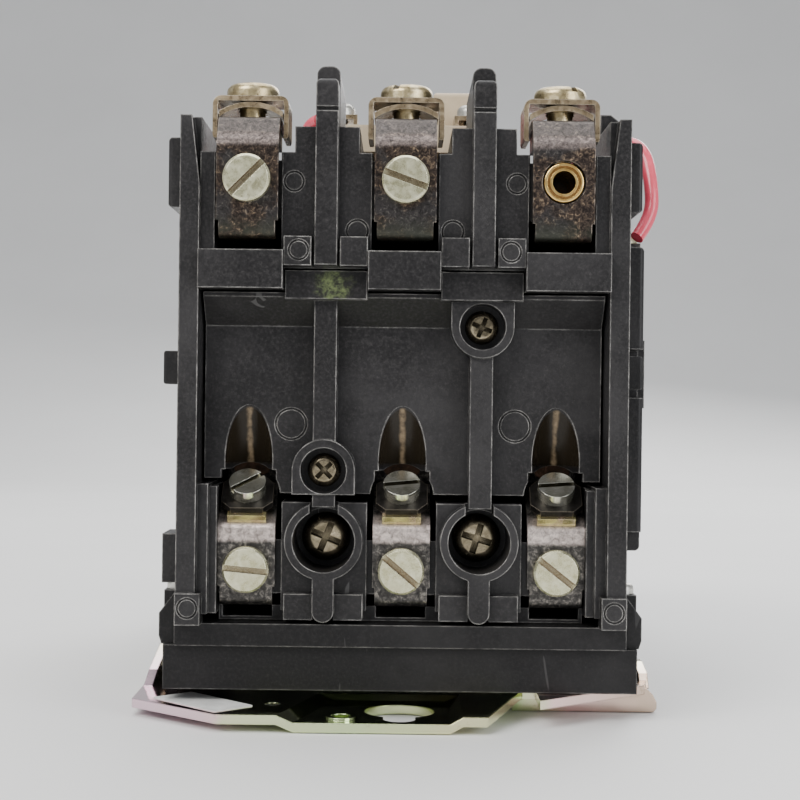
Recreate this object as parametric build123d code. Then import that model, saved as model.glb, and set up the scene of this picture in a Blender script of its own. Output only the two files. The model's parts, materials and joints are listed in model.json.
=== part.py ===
from build123d import *
import math
import os

# Magnetic motor starter lying on its mounting plate, millimetres.
# +X across the three poles, -Y towards the line end, +Z away from the mounting panel.
# Origin under the middle of the plate, on the surface that the plate's feet stand on.

# ---------------------------------------------------------------- driving dimensions
POLE_PITCH = 28.6                       # 1 1/8 inch between poles
POLES = (-POLE_PITCH, 0.0, POLE_PITCH)
MID = POLE_PITCH / 2                    # barrier posts stand midway between poles
TRAVEL = 5.5                            # stroke of the contact carrier
TIP_GAP = 4.0                           # open gap of the main contacts
CLOSED_GAP = 0.05                       # what is left between closed tips
OVERTRAVEL = TRAVEL - TIP_GAP + CLOSED_GAP
RUN = 0.3                               # clearance round parts that move
FIT = 0.05                              # radial clearance of a screw in its hole

SHEET = 1.7                             # plate steel
HALF_LENGTH = 88.0
FRONT_HALF_WIDTH = 49.8
REAR_HALF_WIDTH = 52.2
FIELD_Z = 1.3                           # underside of the plate's main field
PAD_Z = 3.5                             # underside of its raised corner

BASE_Z0, BASE_Z1, LEDGE_Z1 = 5.3, 13.5, 17.7
BASE_HALF_WIDTH = 43.8
BASE_FRONT = -75.3
CHAMBER_BACK = -34.0                    # contact block ends, magnet section starts
MAGNET_BACK = 32.0
BODY_HALF_WIDTH = 41.0
WALL = 3.6
INNER = BODY_HALF_WIDTH - WALL
RAIL_FRONT = -80.5
RAIL_TOP = 110.5
BLOCK_FRONT = -79.5
BLOCK_Z0, BLOCK_Z1 = 86.0, 104.0
UPPER_FACE = -82.6                      # front of the line straps
LOWER_FACE = -75.3                      # front of the load straps
COVER_FACE = -72.0
COVER_Z0, COVER_Z1 = 41.5, 78.6
STRAP = 1.6
STRAP_WIDTH = 11.2
LINE_SCREW_Z = 98.7
LOAD_SCREW_Z = 27.6
UPPER_TIP_Z, LOWER_TIP_Z = 71.0, 48.0
TIP_FACE = -57.7                        # fixed tips face the line end from here
TIP_THICK = 1.2
ARM_Z0, ARM_Z1 = 61.7, 68.3
ARM_REACH = 47.4
CORE_Z0, CORE_Z1 = 50.0, 76.0
CORE_HALF = 28.0
CORE_FACE = -16.5
CORE_BACK = 15.0
OVERLOAD_Y0, OVERLOAD_Y1 = 35.0, 79.0
OVERLOAD_HALF = 39.5


# ---------------------------------------------------------------- small helpers
def box(x0, x1, y0, y1, z0, z1):
    return Pos((x0 + x1) / 2, (y0 + y1) / 2, (z0 + z1) / 2) * Box(x1 - x0, y1 - y0, z1 - z0)


def mirror_pair(centre, near, far, y0, y1, z0, z1):
    """Two boxes, one each side of a centre line."""
    return box(centre - far, centre - near, y0, y1, z0, z1) + box(centre + near, centre + far, y0, y1, z0, z1)


def mirrored_box(x0, x1, y0, y1, z0, z1):
    return mirror_pair(0.0, x0, x1, y0, y1, z0, z1)


def rod(radius, start, end):
    """A round bar between two points."""
    line = Vector(*end) - Vector(*start)
    middle = (Vector(*start) + Vector(*end)) / 2
    place = Plane(origin=middle, z_dir=line)
    return place * Cylinder(radius, line.length)


def rod_y(radius, x, z, y0, y1):
    return rod(radius, (x, y0, z), (x, y1, z))


def rod_z(radius, x, y, z0, z1):
    return rod(radius, (x, y, z0), (x, y, z1))


def rod_x(radius, y, z, x0, x1):
    return rod(radius, (x0, y, z), (x1, y, z))


def prism(points, push):
    """A flat outline pushed along a vector."""
    face = make_face(Polyline(*points, close=True).edges())
    return extrude(face, amount=Vector(*push).length, dir=Vector(*push).normalized())


def prism_x(outline, x0, x1):
    return prism([(x0, y, z) for y, z in outline], (x1 - x0, 0, 0))


def prism_y(outline, y0, y1):
    return prism([(x, y0, z) for x, z in outline], (0, y1 - y0, 0))


def prism_z(outline, z0, z1):
    return prism([(x, y, z0) for x, y in outline], (0, 0, z1 - z0))


def bent_strip(path, thickness, x0, x1, radius=1.0):
    """A metal strip bent in the YZ plane along the middle line of its thickness, x0 to x1 wide."""
    turns = len(path) - 2
    wire = FilletPolyline(*[(0, y, z) for y, z in path], radius=[radius] * turns)
    start, ahead = Vector(0, *path[0]), Vector(0, path[1][0] - path[0][0], path[1][1] - path[0][1])
    section = Plane(origin=start, z_dir=ahead, x_dir=(1, 0, 0)) * Rectangle(x1 - x0, thickness)
    return Pos((x0 + x1) / 2, 0, 0) * sweep(section, path=wire)


def group(parts):
    """Separate solids kept together in one file."""
    return Compound(children=[solid for part in parts for solid in part.solids()])


def soften(part, size, keep):
    """Rounds the edges that the rule picks, or leaves the part as it is where that can't be done."""
    edges = [edge for edge in part.edges() if keep(edge)]
    try:
        return fillet(edges, size)
    except (ValueError, RuntimeError):
        return part


# ---------------------------------------------------------------- fasteners
def slotted_screw_y(x, z, face, head_r, head_h, shank_r, length, turn):
    """A cheese-head screw whose head faces -Y; turn is the slot's angle from level."""
    head = rod_y(head_r, x, z, face - head_h, face)
    head = chamfer(head.edges().group_by(Axis.Y)[0], 0.4)
    slot = Pos(x, face - head_h, z) * Rot(0, turn, 0) * Box(2 * head_r + 1, 2.0, 1.15)
    return head - slot + rod_y(shank_r, x, z, face, face + length)


def phillips_screw_y(x, z, seat, head_r, head_h, shank_r, length, turn):
    """A round-topped cross-recess screw whose head faces -Y; turn is one arm's angle from level."""
    head = rod_y(head_r, x, z, seat - head_h, seat)
    head = fillet(head.edges().group_by(Axis.Y)[0], head_h * 0.7)
    for angle in (turn, turn + 90):
        cut = Pos(x, seat - head_h, z) * Rot(0, angle, 0) * Box(head_r * 1.25, head_h * 1.2, head_r * 0.26)
        head = head - cut
    return head + rod_y(shank_r, x, z, seat, seat + length)


def pan_screw_z(x, y, seat, head_r, head_h, shank_r, length, turn=0.0):
    """A slotted pan-head screw whose head faces +Z."""
    head = rod_z(head_r, x, y, seat, seat + head_h)
    head = fillet(head.edges().group_by(Axis.Z)[-1], head_h * 0.55)
    slot = Pos(x, y, seat + head_h) * Rot(0, 0, turn) * Box(2 * head_r + 1, 0.24 * head_r, 0.8 * head_h)
    return head - slot + rod_z(shank_r, x, y, seat - length, seat)


# ---------------------------------------------------------------- mounting plate
FOOT = (-18.9, 9.0)                     # centre foot along the front edge
FOOT_SKEW = 6.5                         # its left bend runs this far across on the way back
FOOT_BACK = -65.0
KEYHOLE_Y, KEYHOLE_R, KEYHOLE_SLOT_R, KEYHOLE_SLOT_Y = -75.5, 6.5, 2.9, -83.2
GROUND_X, GROUND_Y, GROUND_R = -10.5, -83.2, 1.9
REAR_HOLE_X, REAR_HOLE_Y, REAR_HOLE_R = 36.5, 81.0, 3.2
SMALL_HOLE_X, SMALL_HOLE_Y, SMALL_HOLE_R = -23.3, -76.5, 1.35
REAR_FOOT_Y = 72.0
PLATE_SCREW_X, PLATE_SCREW_Y = 45.4, (-38.0, 22.0)
PLATE_SCREWS = [(sx * PLATE_SCREW_X, y) for y in PLATE_SCREW_Y for sx in (-1, 1)]
PLATE_SCREW_R = 1.9
SCREW_FOOT_TOP = 19.8                   # top of the base's screwed feet
OVERLOAD_SCREWS = [(sx * 30.0, 57.0) for sx in (-1, 1)]


def flat_foot_profile(lift):
    """The left part of the front apron across the plate: main field, joggle, centre foot."""
    return [(-70.0, FIELD_Z + lift), (FOOT[0] - 3.0, FIELD_Z + lift), (FOOT[0], lift), (-8.0, lift)]


def raised_corner_profile(lift):
    """The right part of the front apron: centre foot, joggle, main field, ramp, raised corner."""
    return [(-10.0, lift), (FOOT[1], lift), (FOOT[1] + 2.4, FIELD_Z + lift), (15.7, FIELD_Z + lift),
            (22.4, PAD_Z + lift), (60.0, PAD_Z + lift)]


def sheet_outline(profile):
    return profile(0.0) + profile(SHEET)[::-1]


def front_apron():
    """The pressed front strip; the bend at the left of its foot runs obliquely."""
    depth = FOOT_BACK + HALF_LENGTH
    left = prism([(x, -HALF_LENGTH, z) for x, z in sheet_outline(flat_foot_profile)], (FOOT_SKEW, depth, 0))
    apron = left + prism_y(sheet_outline(raised_corner_profile), -HALF_LENGTH, FOOT_BACK)
    ramp_end = FOOT_BACK + 0.7
    foot_left, foot_right = FOOT[0] + FOOT_SKEW - 3.0, FOOT[1] + 2.4
    ramp = prism_x([(FOOT_BACK, 0.0), (ramp_end, FIELD_Z), (ramp_end, FIELD_Z + SHEET), (FOOT_BACK, SHEET)],
                   foot_left, foot_right)
    for x0, x1 in ((-60.0, foot_left), (foot_right, 15.7)):
        apron = apron + box(x0, x1, FOOT_BACK, -64.0, FIELD_Z, FIELD_Z + SHEET)
    apron = apron + box(foot_left, foot_right, ramp_end, -64.0, FIELD_Z, FIELD_Z + SHEET)
    corner = prism_y([(15.7, FIELD_Z), (22.4, PAD_Z), (60.0, PAD_Z), (60.0, PAD_Z + SHEET),
                      (22.4, PAD_Z + SHEET), (15.7, FIELD_Z + SHEET)], FOOT_BACK, -46.0)
    ramp_down = prism_x([(-46.0, PAD_Z), (-42.0, FIELD_Z), (-42.0, FIELD_Z + SHEET), (-46.0, PAD_Z + SHEET)],
                        22.4, 60.0)
    return apron + ramp + corner + ramp_down + box(15.7, 22.4, -46.0, -42.0, FIELD_Z, FIELD_Z + SHEET)


def rear_strip():
    """The rear edge, with a flat foot pressed down at each corner."""
    strip = box(-27.0, 27.0, REAR_FOOT_Y - 3.0, HALF_LENGTH, FIELD_Z, FIELD_Z + SHEET)
    for side in (-1, 1):
        x0, x1 = sorted((side * 27.0, side * 60.0))
        strip = strip + box(x0, x1, REAR_FOOT_Y, HALF_LENGTH, 0, SHEET)
        strip = strip + prism_x([(REAR_FOOT_Y - 3.0, FIELD_Z), (REAR_FOOT_Y, 0.0), (REAR_FOOT_Y, SHEET),
                                 (REAR_FOOT_Y - 3.0, FIELD_Z + SHEET)], x0, x1)
        inner = side * 27.0
        strip = strip + prism_y([(inner, 0.0), (inner, SHEET), (inner - side * 3.0, FIELD_Z + SHEET),
                                 (inner - side * 3.0, FIELD_Z)], REAR_FOOT_Y, HALF_LENGTH)
    return strip


def front_flange():
    """The sheet folded down to the mounting surface behind the raised corner, round at its free end."""
    return prism_y([(21.6, 0.0), (48.6, 0.0), (49.2, 0.7), (49.2, 1.9), (48.5, 3.3), (47.4, 4.4),
                    (46.4, PAD_Z + 1.0), (21.6, PAD_Z + 0.2)], -64.0, -64.0 + SHEET)


def mounting_plate():
    field = box(-60.0, 60.0, -64.0, REAR_FOOT_Y - 3.0, FIELD_Z, FIELD_Z + SHEET)
    field = field - box(15.7, 60.0, -64.0, -42.0, -1, 8)
    outline = [(-32.5, -HALF_LENGTH), (15.7, -HALF_LENGTH), (22.9, -72.0), (25.4, -72.0), (25.4, -82.6),
               (30.0, -78.7), (46.7, -64.6), (47.6, -60.0), (49.4, -43.0), (REAR_HALF_WIDTH, 40.0),
               (REAR_HALF_WIDTH, 84.0), (48.0, HALF_LENGTH), (-48.0, HALF_LENGTH),
               (-REAR_HALF_WIDTH, 84.0), (-REAR_HALF_WIDTH, 40.0), (-FRONT_HALF_WIDTH, -60.0),
               (-FRONT_HALF_WIDTH, -72.5)]
    plate = (front_apron() + field + rear_strip()) & prism_z(outline, -1, 20)
    plate = plate + front_flange() + left_ear() + right_ear()
    plate = plate - rod_z(KEYHOLE_R, 0, KEYHOLE_Y, -1, 9) - rod_z(KEYHOLE_SLOT_R, 0, KEYHOLE_SLOT_Y, -1, 9)
    plate = plate - box(-KEYHOLE_SLOT_R, KEYHOLE_SLOT_R, KEYHOLE_SLOT_Y, KEYHOLE_Y, -1, 9)
    plate = plate + rod_z(GROUND_R + 0.9, GROUND_X, GROUND_Y, 0.0, SHEET + 0.5)
    plate = plate - rod_z(GROUND_R, GROUND_X, GROUND_Y, -1, 9)
    plate = plate - rod_z(SMALL_HOLE_R, SMALL_HOLE_X, SMALL_HOLE_Y, -1, 9)
    for side in (-1, 1):
        plate = plate - rod_z(REAR_HOLE_R, side * REAR_HOLE_X, REAR_HOLE_Y, -1, 9)
    for x, y in PLATE_SCREWS + OVERLOAD_SCREWS:
        plate = plate - rod_z(PLATE_SCREW_R + FIT, x, y, -1, 9)
    return plate


def left_ear():
    """An upturned ear with a slot, leaning in towards the base."""
    lean = prism_y([(-50.0, FIELD_Z + 0.3), (-47.9, 9.9), (-47.9 + SHEET, 9.9), (-50.0 + SHEET, FIELD_Z + 0.3)],
                   -60.0, -43.0)
    side_view = prism_x([(-60.0, 1.6), (-57.0, 6.0), (-49.0, 9.8), (-44.5, 9.8), (-43.0, 2.8), (-43.0, 1.6)],
                        -60.0, -40.0)
    return (lean & side_view) - box(-60.0, -40.0, -53.0, -46.5, 5.9, 7.7)


def right_ear():
    """The lower ear on the raised corner, with its slot."""
    ear = prism_x([(-60.0, PAD_Z + 0.3), (-57.5, 6.4), (-50.0, 7.6), (-47.0, 7.6), (-46.2, PAD_Z + 0.3)],
                  46.6, 46.6 + SHEET)
    return ear - box(40.0, 50.0, -55.5, -50.0, 5.5, 6.5)


def label_plate():
    """A blank paper label stuck beside the chamfered front corner."""
    label = Rectangle(18.8, 9.1)
    label = fillet(label.vertices(), 0.6)
    return Pos(-36.3, -75.6, FIELD_Z + SHEET) * Rot(0, 0, -46.3) * extrude(label, 0.15)


# ---------------------------------------------------------------- base
LEDGE_HALF = 41.6
CAP_SCREW_X, CAP_SCREW_Y, CAP_SCREW_R = 39.2, 26.0, 1.2
AUX_SCREW_Y, AUX_SCREW_Z, AUX_SCREW_R = 2.0, (38.0, 80.0), 1.7
LARGE_SCREW_R = 2.2                     # shanks of the screws through the contact block
BUS_HALF = 4.9                          # channels that the current bars run through


def base_housing():
    floor = box(-BASE_HALF_WIDTH, BASE_HALF_WIDTH, BASE_FRONT, MAGNET_BACK, BASE_Z0, BASE_Z1)
    ledge = box(-LEDGE_HALF, LEDGE_HALF, BASE_FRONT - 1.5, MAGNET_BACK, BASE_Z1, LEDGE_Z1)
    body = floor + ledge
    for side in (-1, 1):
        lug = prism_y([(side * BODY_HALF_WIDTH, BASE_Z1), (side * 44.2, BASE_Z1), (side * 44.7, 15.0),
                       (side * 44.7, 19.2), (side * 42.0, 22.9), (side * LEDGE_HALF, 22.9),
                       (side * LEDGE_HALF, LEDGE_Z1), (side * BODY_HALF_WIDTH, LEDGE_Z1)],
                      BASE_FRONT + 1.0, -62.0)
        body = body + lug
        x0, x1 = sorted((side * INNER, side * BODY_HALF_WIDTH))
        body = body + box(x0, x1, CHAMBER_BACK + 0.2, MAGNET_BACK, LEDGE_Z1, 97.0)
        foot = sorted((side * BODY_HALF_WIDTH, side * 48.2))
        for y in PLATE_SCREW_Y:
            body = body + box(*foot, y - 4.0, y + 4.0, FIELD_Z + SHEET, SCREW_FOOT_TOP)
    body = body - box(22.0, 50.0, -60.0, -42.0, 0, BASE_Z0 + 0.1)
    body = body + box(-INNER, INNER, MAGNET_BACK - 3.0, MAGNET_BACK, LEDGE_Z1, 97.0)
    body = body + mirrored_box(20.0, INNER, CHAMBER_BACK + 0.2, CHAMBER_BACK + 5.0, LEDGE_Z1, 44.0)
    body = body + box(-20.0, 20.0, CHAMBER_BACK + 0.2, CHAMBER_BACK + 5.0, LEDGE_Z1, 40.0)
    # seats and back stop of the fixed magnet
    body = body + mirrored_box(20.6, 30.0, -10.0, CORE_BACK, LEDGE_Z1, CORE_Z0 - 0.05)
    body = body + box(-26.0, 26.0, CORE_BACK + 3.1, MAGNET_BACK, 44.0, 80.0)
    for pole in POLES:
        body = body - box(pole - BUS_HALF, pole + BUS_HALF, CHAMBER_BACK - 1, MAGNET_BACK + 1, 18.2, 25.0)
    for x, y in PLATE_SCREWS:
        body = body - rod_z(PLATE_SCREW_R + FIT, x, y, 0, 30)
    for sx in (-1, 1):
        body = body - rod_y(LARGE_SCREW_R + FIT, sx * MID, LARGE_SCREW_Z, CHAMBER_BACK, CHAMBER_BACK + 6)
    for y in (-20.0, -6.0, 8.0):
        body = body - box(-BODY_HALF_WIDTH - 1, -INNER + 1, y, y + 9.0, 84.0, 88.0)
    body = body - rod_z(CAP_SCREW_R + FIT, -CAP_SCREW_X, CAP_SCREW_Y, 80, 99)
    body = body - rod_z(CAP_SCREW_R + FIT, CAP_SCREW_X, CAP_SCREW_Y, 80, 99)
    for z in AUX_SCREW_Z:
        body = body - rod_x(AUX_SCREW_R + FIT, AUX_SCREW_Y, z, 30, 50)
    return body


def plate_screws():
    """Screws down through the base's feet, and up through the plate into the relay."""
    down = [pan_screw_z(x, y, SCREW_FOOT_TOP, 2.7, 2.2, PLATE_SCREW_R, 17.6, turn=20 * i)
            for i, (x, y) in enumerate(PLATE_SCREWS)]
    up = []
    for x, y in OVERLOAD_SCREWS:
        head = rod_z(3.0, x, y, FIELD_Z - 1.25, FIELD_Z - 0.02)
        head = head - Pos(x, y, FIELD_Z - 1.25) * Rot(0, 0, 30) * Box(7, 1.0, 1.0)
        up.append(head + rod_z(PLATE_SCREW_R, x, y, FIELD_Z - 0.02, 20.0))
    return group(down + up)


# ---------------------------------------------------------------- contact block
POST_HALF = 2.05
POST_FRONT_TOP, POST_TOP = 117.2, 120.3
LARGE_SCREW_Z, LARGE_BORE_R, LARGE_RING_R = 33.0, 5.7, 7.2
LARGE_SEAT = -64.0                      # depth at which the large screws' heads sit
LARGE_SCREW_TURNS = (22, 17)
SMALL_SCREWS = ((14.5, 72.7), (-14.5, 45.9))
SMALL_SCREW_TURNS = (22, 45)
SMALL_SCREW_R = 1.5
STEP_TOP = 108.7
BLOCK_STEP_FRONT = -82.3                # small blocks and ledge blocks stand out to here
CEILING_Z = 92.0
BARRIER_HALF = 1.3
BARRIER_Z0 = 40.0                       # the barriers' lower parts belong to the base of the block


def ring_mark(x, z, face, radius=1.9):
    """A shallow ejector-pin circle in a face that looks along -Y."""
    return rod_y(radius, x, z, face - 1, face + 0.25) - rod_y(radius - 0.3, x, z, face - 2, face + 1)


def pole_post(x):
    """One barrier post: a slim front column and a taller wall behind it."""
    column = box(x - POST_HALF, x + POST_HALF, RAIL_FRONT - 1.5, BLOCK_FRONT + 3.0, 83.4, POST_FRONT_TOP)
    column = soften(column, 1.2, lambda e: e.center().Z > POST_FRONT_TOP - 0.1)
    column = column - box(x - 4, x + 4, RAIL_FRONT - 2.0, RAIL_FRONT - 0.9, 111.3, 112.0)
    wall = box(x - POST_HALF - 0.1, x + POST_HALF + 0.1, BLOCK_FRONT + 3.0, CHAMBER_BACK - 12.0, 86.0, POST_TOP)
    wall = soften(wall, 1.6, lambda e: e.center().Z > POST_TOP - 0.1 and abs(e.center().X - x) > 1.0)
    return column + wall


def contact_block():
    """The upper block that carries the line straps, with its posts, steps and ledges."""
    block = box(-INNER, INNER, BLOCK_FRONT, -60.0, BLOCK_Z0, BLOCK_Z1)
    block = block + box(-INNER, INNER, -60.0, CHAMBER_BACK, CEILING_Z, BLOCK_Z1)
    block = block + box(-INNER, INNER, -79.0, -66.0, 82.9, BLOCK_Z0)
    for x0, x1 in ((-INNER, -22.0), (-6.6, 6.6), (22.0, INNER)):
        block = block + box(x0, x1, UPPER_FACE, -66.0, 79.0, BLOCK_Z0)
    for side in (-1, 1):
        post = side * MID
        block = block + box(post - 5.9, post + 5.9, BLOCK_FRONT, -46.0, BLOCK_Z1 - 1, STEP_TOP)
        block = block + pole_post(post) + mirror_pair(post, 2.6, 7.6, BLOCK_STEP_FRONT, -70, 83.2, 88.5)
        block = block - ring_mark(post + side * 6.0, LINE_SCREW_Z, BLOCK_FRONT)
        block = block - ring_mark(post - side * 5.6, 89.8, BLOCK_FRONT, 2.1)
        block = block - ring_mark(post + side * 4.9, 86.0, BLOCK_STEP_FRONT)
    return block - chamber_cuts()


def contact_block_walls():
    """The side walls with their front rails, lower ribs, clips and windows for the carrier's arms."""
    walls = []
    for side in (-1, 1):
        inner, outer = side * INNER, side * BODY_HALF_WIDTH
        wall = box(*sorted((inner, outer)), RAIL_FRONT, CHAMBER_BACK, LEDGE_Z1 + 0.1, RAIL_TOP)
        facet = prism_y([(side * 36.0, RAIL_TOP + 1), (side * 39.0, RAIL_TOP + 1), (inner, 98.0),
                         (side * 36.0, 98.0)], RAIL_FRONT - 1, RAIL_FRONT + 3.0)
        wall = wall - facet
        clip = box(*sorted((outer, side * 43.6)), -77.0, -58.0, 94.0, 106.8)
        wall = wall + soften(clip, 0.8, lambda e: abs(e.center().X) > 43.5)
        wall = wall + box(*sorted((side * 35.4, inner)), -78.6, -60.0, 19.6, 43.4)
        wall = wall + box(*sorted((side * 33.9, side * 35.4)), -77.2, -60.0, 19.6, 42.9)
        wall = wall + box(*sorted((side * 36.4, outer)), -81.4, -76.0, LEDGE_Z1 + 0.1, 23.6)
        walls.append((wall - ring_mark(side * 38.7, 20.9, -81.4)) - chamber_cuts())
    left, right = walls
    left = left + box(-45.4, -BODY_HALF_WIDTH, -66.0, -55.0, 23.9, 33.2)
    rise = prism_y([(INNER, RAIL_TOP - 1), (BODY_HALF_WIDTH, RAIL_TOP - 1), (BODY_HALF_WIDTH + 0.6, 112.6),
                    (BODY_HALF_WIDTH - 1.6, 114.4), (INNER, 114.4)], -62.0, -44.0)
    return group([left, right + rise])


def arc_barriers():
    """The barriers between the poles, with the bosses of the cover's screws."""
    barriers = []
    for (x, z), post in zip(SMALL_SCREWS, (MID, -MID)):
        side_view = [(-69.0, BARRIER_Z0), (CHAMBER_BACK - 3.0, BARRIER_Z0), (CHAMBER_BACK - 3.0, CEILING_Z),
                     (-46.0, CEILING_Z), (-46.0, BLOCK_Z0), (-66.0, BLOCK_Z0), (-66.0, 82.9), (-69.0, 82.9)]
        barrier = prism_x(side_view, post - BARRIER_HALF, post + BARRIER_HALF)
        barrier = barrier + rod_y(3.2, post, z, -69.0, -56.0)
        barriers.append(barrier - chamber_cuts())
    return group(barriers)


def contact_block_base():
    """The floor and back wall of the arc chamber, with the bosses of the large screws."""
    block = box(-INNER, INNER, -60.0, CHAMBER_BACK, LEDGE_Z1 + 0.1, 20.6)
    block = block + box(-33.9, 33.9, -71.5, -60.0, LEDGE_Z1 + 0.1, 20.6)
    block = block + box(-INNER, INNER, CHAMBER_BACK - 3.0, CHAMBER_BACK, LEDGE_Z1 + 0.1, CEILING_Z)
    for post in (-MID, MID):
        block = block + box(post - BARRIER_HALF, post + BARRIER_HALF, -69.0, CHAMBER_BACK, 20.0, BARRIER_Z0)
        block = block + box(post - 7.9, post + 7.9, -74.5, -60.0, 20.0, BARRIER_Z0)
        block = block + rod_y(4.2, post, LARGE_SCREW_Z, -62.0, CHAMBER_BACK)
        block = block + rod_y(LARGE_RING_R, post, LARGE_SCREW_Z, -77.6, -70.0)
        block = block + box(post - 2.0, post + 2.0, -77.6, -70.0, 20.0, 27.0)
        block = block + rod_y(2.0, post, 20.1, -77.6, -70.0)
        block = block + mirror_pair(post, 1.9, 7.3, -76.2, -70.0, 18.4, 23.2)
        block = block - rod_y(LARGE_BORE_R, post, LARGE_SCREW_Z, -90.0, LARGE_SEAT)
        block = block - box(post - 2.6, post + 2.6, -90.0, -71.0, 35.0, 45.0)
        block = block - rod_y(LARGE_SCREW_R + 0.25, post, LARGE_SCREW_Z, -70.0, -20.0)
    for pole in POLES:
        block = block + box(max(pole - 6.6, -33.9), min(pole + 6.6, 33.9), LOWER_FACE + STRAP + 0.1, -62.0,
                            23.0, 33.0)
    return block - chamber_cuts()


def chamber_cuts():
    """Everything that is open in the contact block: strap channels, screw holes and carrier windows."""
    cuts = []
    for pole in POLES:
        cuts.append(box(pole - 6.1, pole + 6.1, -84.0, BLOCK_FRONT + 0.9, 86.0, 105.0))
        cuts.append(box(pole - 6.1, pole + 6.1, -83.2, -53.0, 86.0, 92.0))
        cuts.append(box(pole - 5.9, pole + 5.9, -80.0, -56.0, 102.6, 106.0))
        cuts.append(box(pole - 4.6, pole + 4.6, -79.8, -53.0, 84.0, 90.6))
        cuts.append(rod_y(INSERT_R + FIT, pole, LINE_SCREW_Z, -84.0, -66.0))
        cuts.append(rod_z(2.7, pole, CLAMP_Y, 99.0, 110.0))
        cuts.append(rod_y(2.3, pole, LOAD_SCREW_Z, -74.0, -64.0))
        cuts.append(box(pole - 6.0, pole + 6.0, -74.0, -54.5, 35.2, 44.5))
        cuts.append(box(pole - 4.6, pole + 4.6, -74.0, CHAMBER_BACK + 1, 18.5, 23.0))
    window = box(-60.0, 60.0, -51.2, CHAMBER_BACK - 3.0, 54.6, ARM_Z1 + 0.6)
    window = window + box(-60.0, 60.0, -54.4, CHAMBER_BACK - 3.0, ARM_Z0 - 0.6, ARM_Z1 + 0.6)
    cuts.append(window)
    cuts.append(box(-8.4, 8.4, CHAMBER_BACK - 4.0, CHAMBER_BACK + 1.0, 55.5, 70.5))
    for x, z in SMALL_SCREWS:
        cuts.append(rod_y(SMALL_SCREW_R + FIT, x, z, -70.0, -58.0))
    for sx in (-1, 1):
        cuts.append(rod_y(RETURN_SPRING_R + 0.4, sx * RETURN_SPRING_X, RETURN_SPRING_Z,
                          CHAMBER_BACK - 4.0, CHAMBER_BACK - 1.0))
    return group(cuts)


def contact_block_screws():
    return group([phillips_screw_y(sx * MID, LARGE_SCREW_Z, LARGE_SEAT, 4.6, 2.8, LARGE_SCREW_R, 34.6, turn)
                  for sx, turn in zip((-1, 1), LARGE_SCREW_TURNS)])


# ---------------------------------------------------------------- arc cover
RIB_FACE, RIB_FOOT_Z = -76.4, 39.2
BOSS_R, HIGH_BOSS_FACE, LOW_BOSS_FACE = 5.8, -77.3, -76.6
COVER_BACK = -69.6


def arc_cover():
    half = INNER - 0.5
    panel = box(-half, half, COVER_FACE, COVER_BACK, COVER_Z0, COVER_Z1)
    panel = panel + prism_x([(COVER_FACE, 72.6), (-77.0, 77.8), (-77.0, COVER_Z1), (COVER_BACK, COVER_Z1),
                             (COVER_BACK, 72.6)], -half, half)
    panel = panel + mirrored_box(6.8, 21.8, -78.4, -75.0, 77.4, 82.6)
    panel = panel - mirrored_box(33.4, 40.0, -80.0, -60.0, 40.0, 44.2)
    for pole in POLES:
        panel = panel + box(pole - 5.4, pole + 5.4, -70.0, -65.9, 45.8, 54.2)
        panel = panel - box(pole - 5.1, pole + 5.1, -80.0, -60.0, 40.0, 45.8)
        panel = panel - rod_y(5.9, pole, 41.1, -80.0, -60.0)
        panel = panel - pocket(pole)
    high, low = SMALL_SCREWS
    high_tab_top = high[1] + 4.6
    panel = panel + box(high[0] - BOSS_R, high[0] + BOSS_R, HIGH_BOSS_FACE, COVER_BACK, high[1], high_tab_top)
    panel = panel + box(low[0] - BOSS_R, low[0] + BOSS_R, LOW_BOSS_FACE, COVER_BACK, COVER_Z0, low[1])
    panel = panel + rod_y(BOSS_R, *high, HIGH_BOSS_FACE, COVER_BACK)
    panel = panel + (rod_y(BOSS_R, *low, LOW_BOSS_FACE, COVER_BACK) - box(-30, 0, -80, -60, 30, COVER_Z0))
    for x, z in SMALL_SCREWS:
        panel = panel - rod_y(4.2, x, z, -80.0, COVER_FACE) - rod_y(SMALL_SCREW_R + 0.25, x, z, -80.0, -60.0)
    for x0, x1, z0, z1 in ((-16.5, -12.3, 50.6, 78.0), (12.3, 16.5, RIB_FOOT_Z, 68.4)):
        panel = panel + box(x0, x1, RIB_FACE, COVER_FACE + 0.6, z0, z1)
    panel = panel + box(-16.5, -12.3, RIB_FACE + 0.2, COVER_FACE, RIB_FOOT_Z, COVER_Z0 + 0.2)
    for x in (-20.8, 20.9):
        panel = panel - ring_mark(x, 54.4, COVER_FACE, 3.0)
    return panel


def pocket(pole):
    """The sloped half-round pocket that guides a screwdriver to a load terminal screw."""
    guide = rod(4.4, (pole, -69.3, 42.0), (pole, -78.8, 62.0))
    return guide - box(pole - 9, pole + 9, -90, COVER_FACE - 2, 40, 60)


def cover_screws():
    """The arc cover's screws and the smaller pair that holds the magnet cover."""
    front = [phillips_screw_y(x, z, COVER_FACE, 3.1, 2.0, SMALL_SCREW_R, 10.0, turn)
             for (x, z), turn in zip(SMALL_SCREWS, SMALL_SCREW_TURNS)]
    top = [pan_screw_z(sx * CAP_SCREW_X, CAP_SCREW_Y, 99.45, 2.3, 1.5, CAP_SCREW_R, 11.0, 40 * sx)
           for sx in (-1, 1)]
    return group(front + top)


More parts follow.
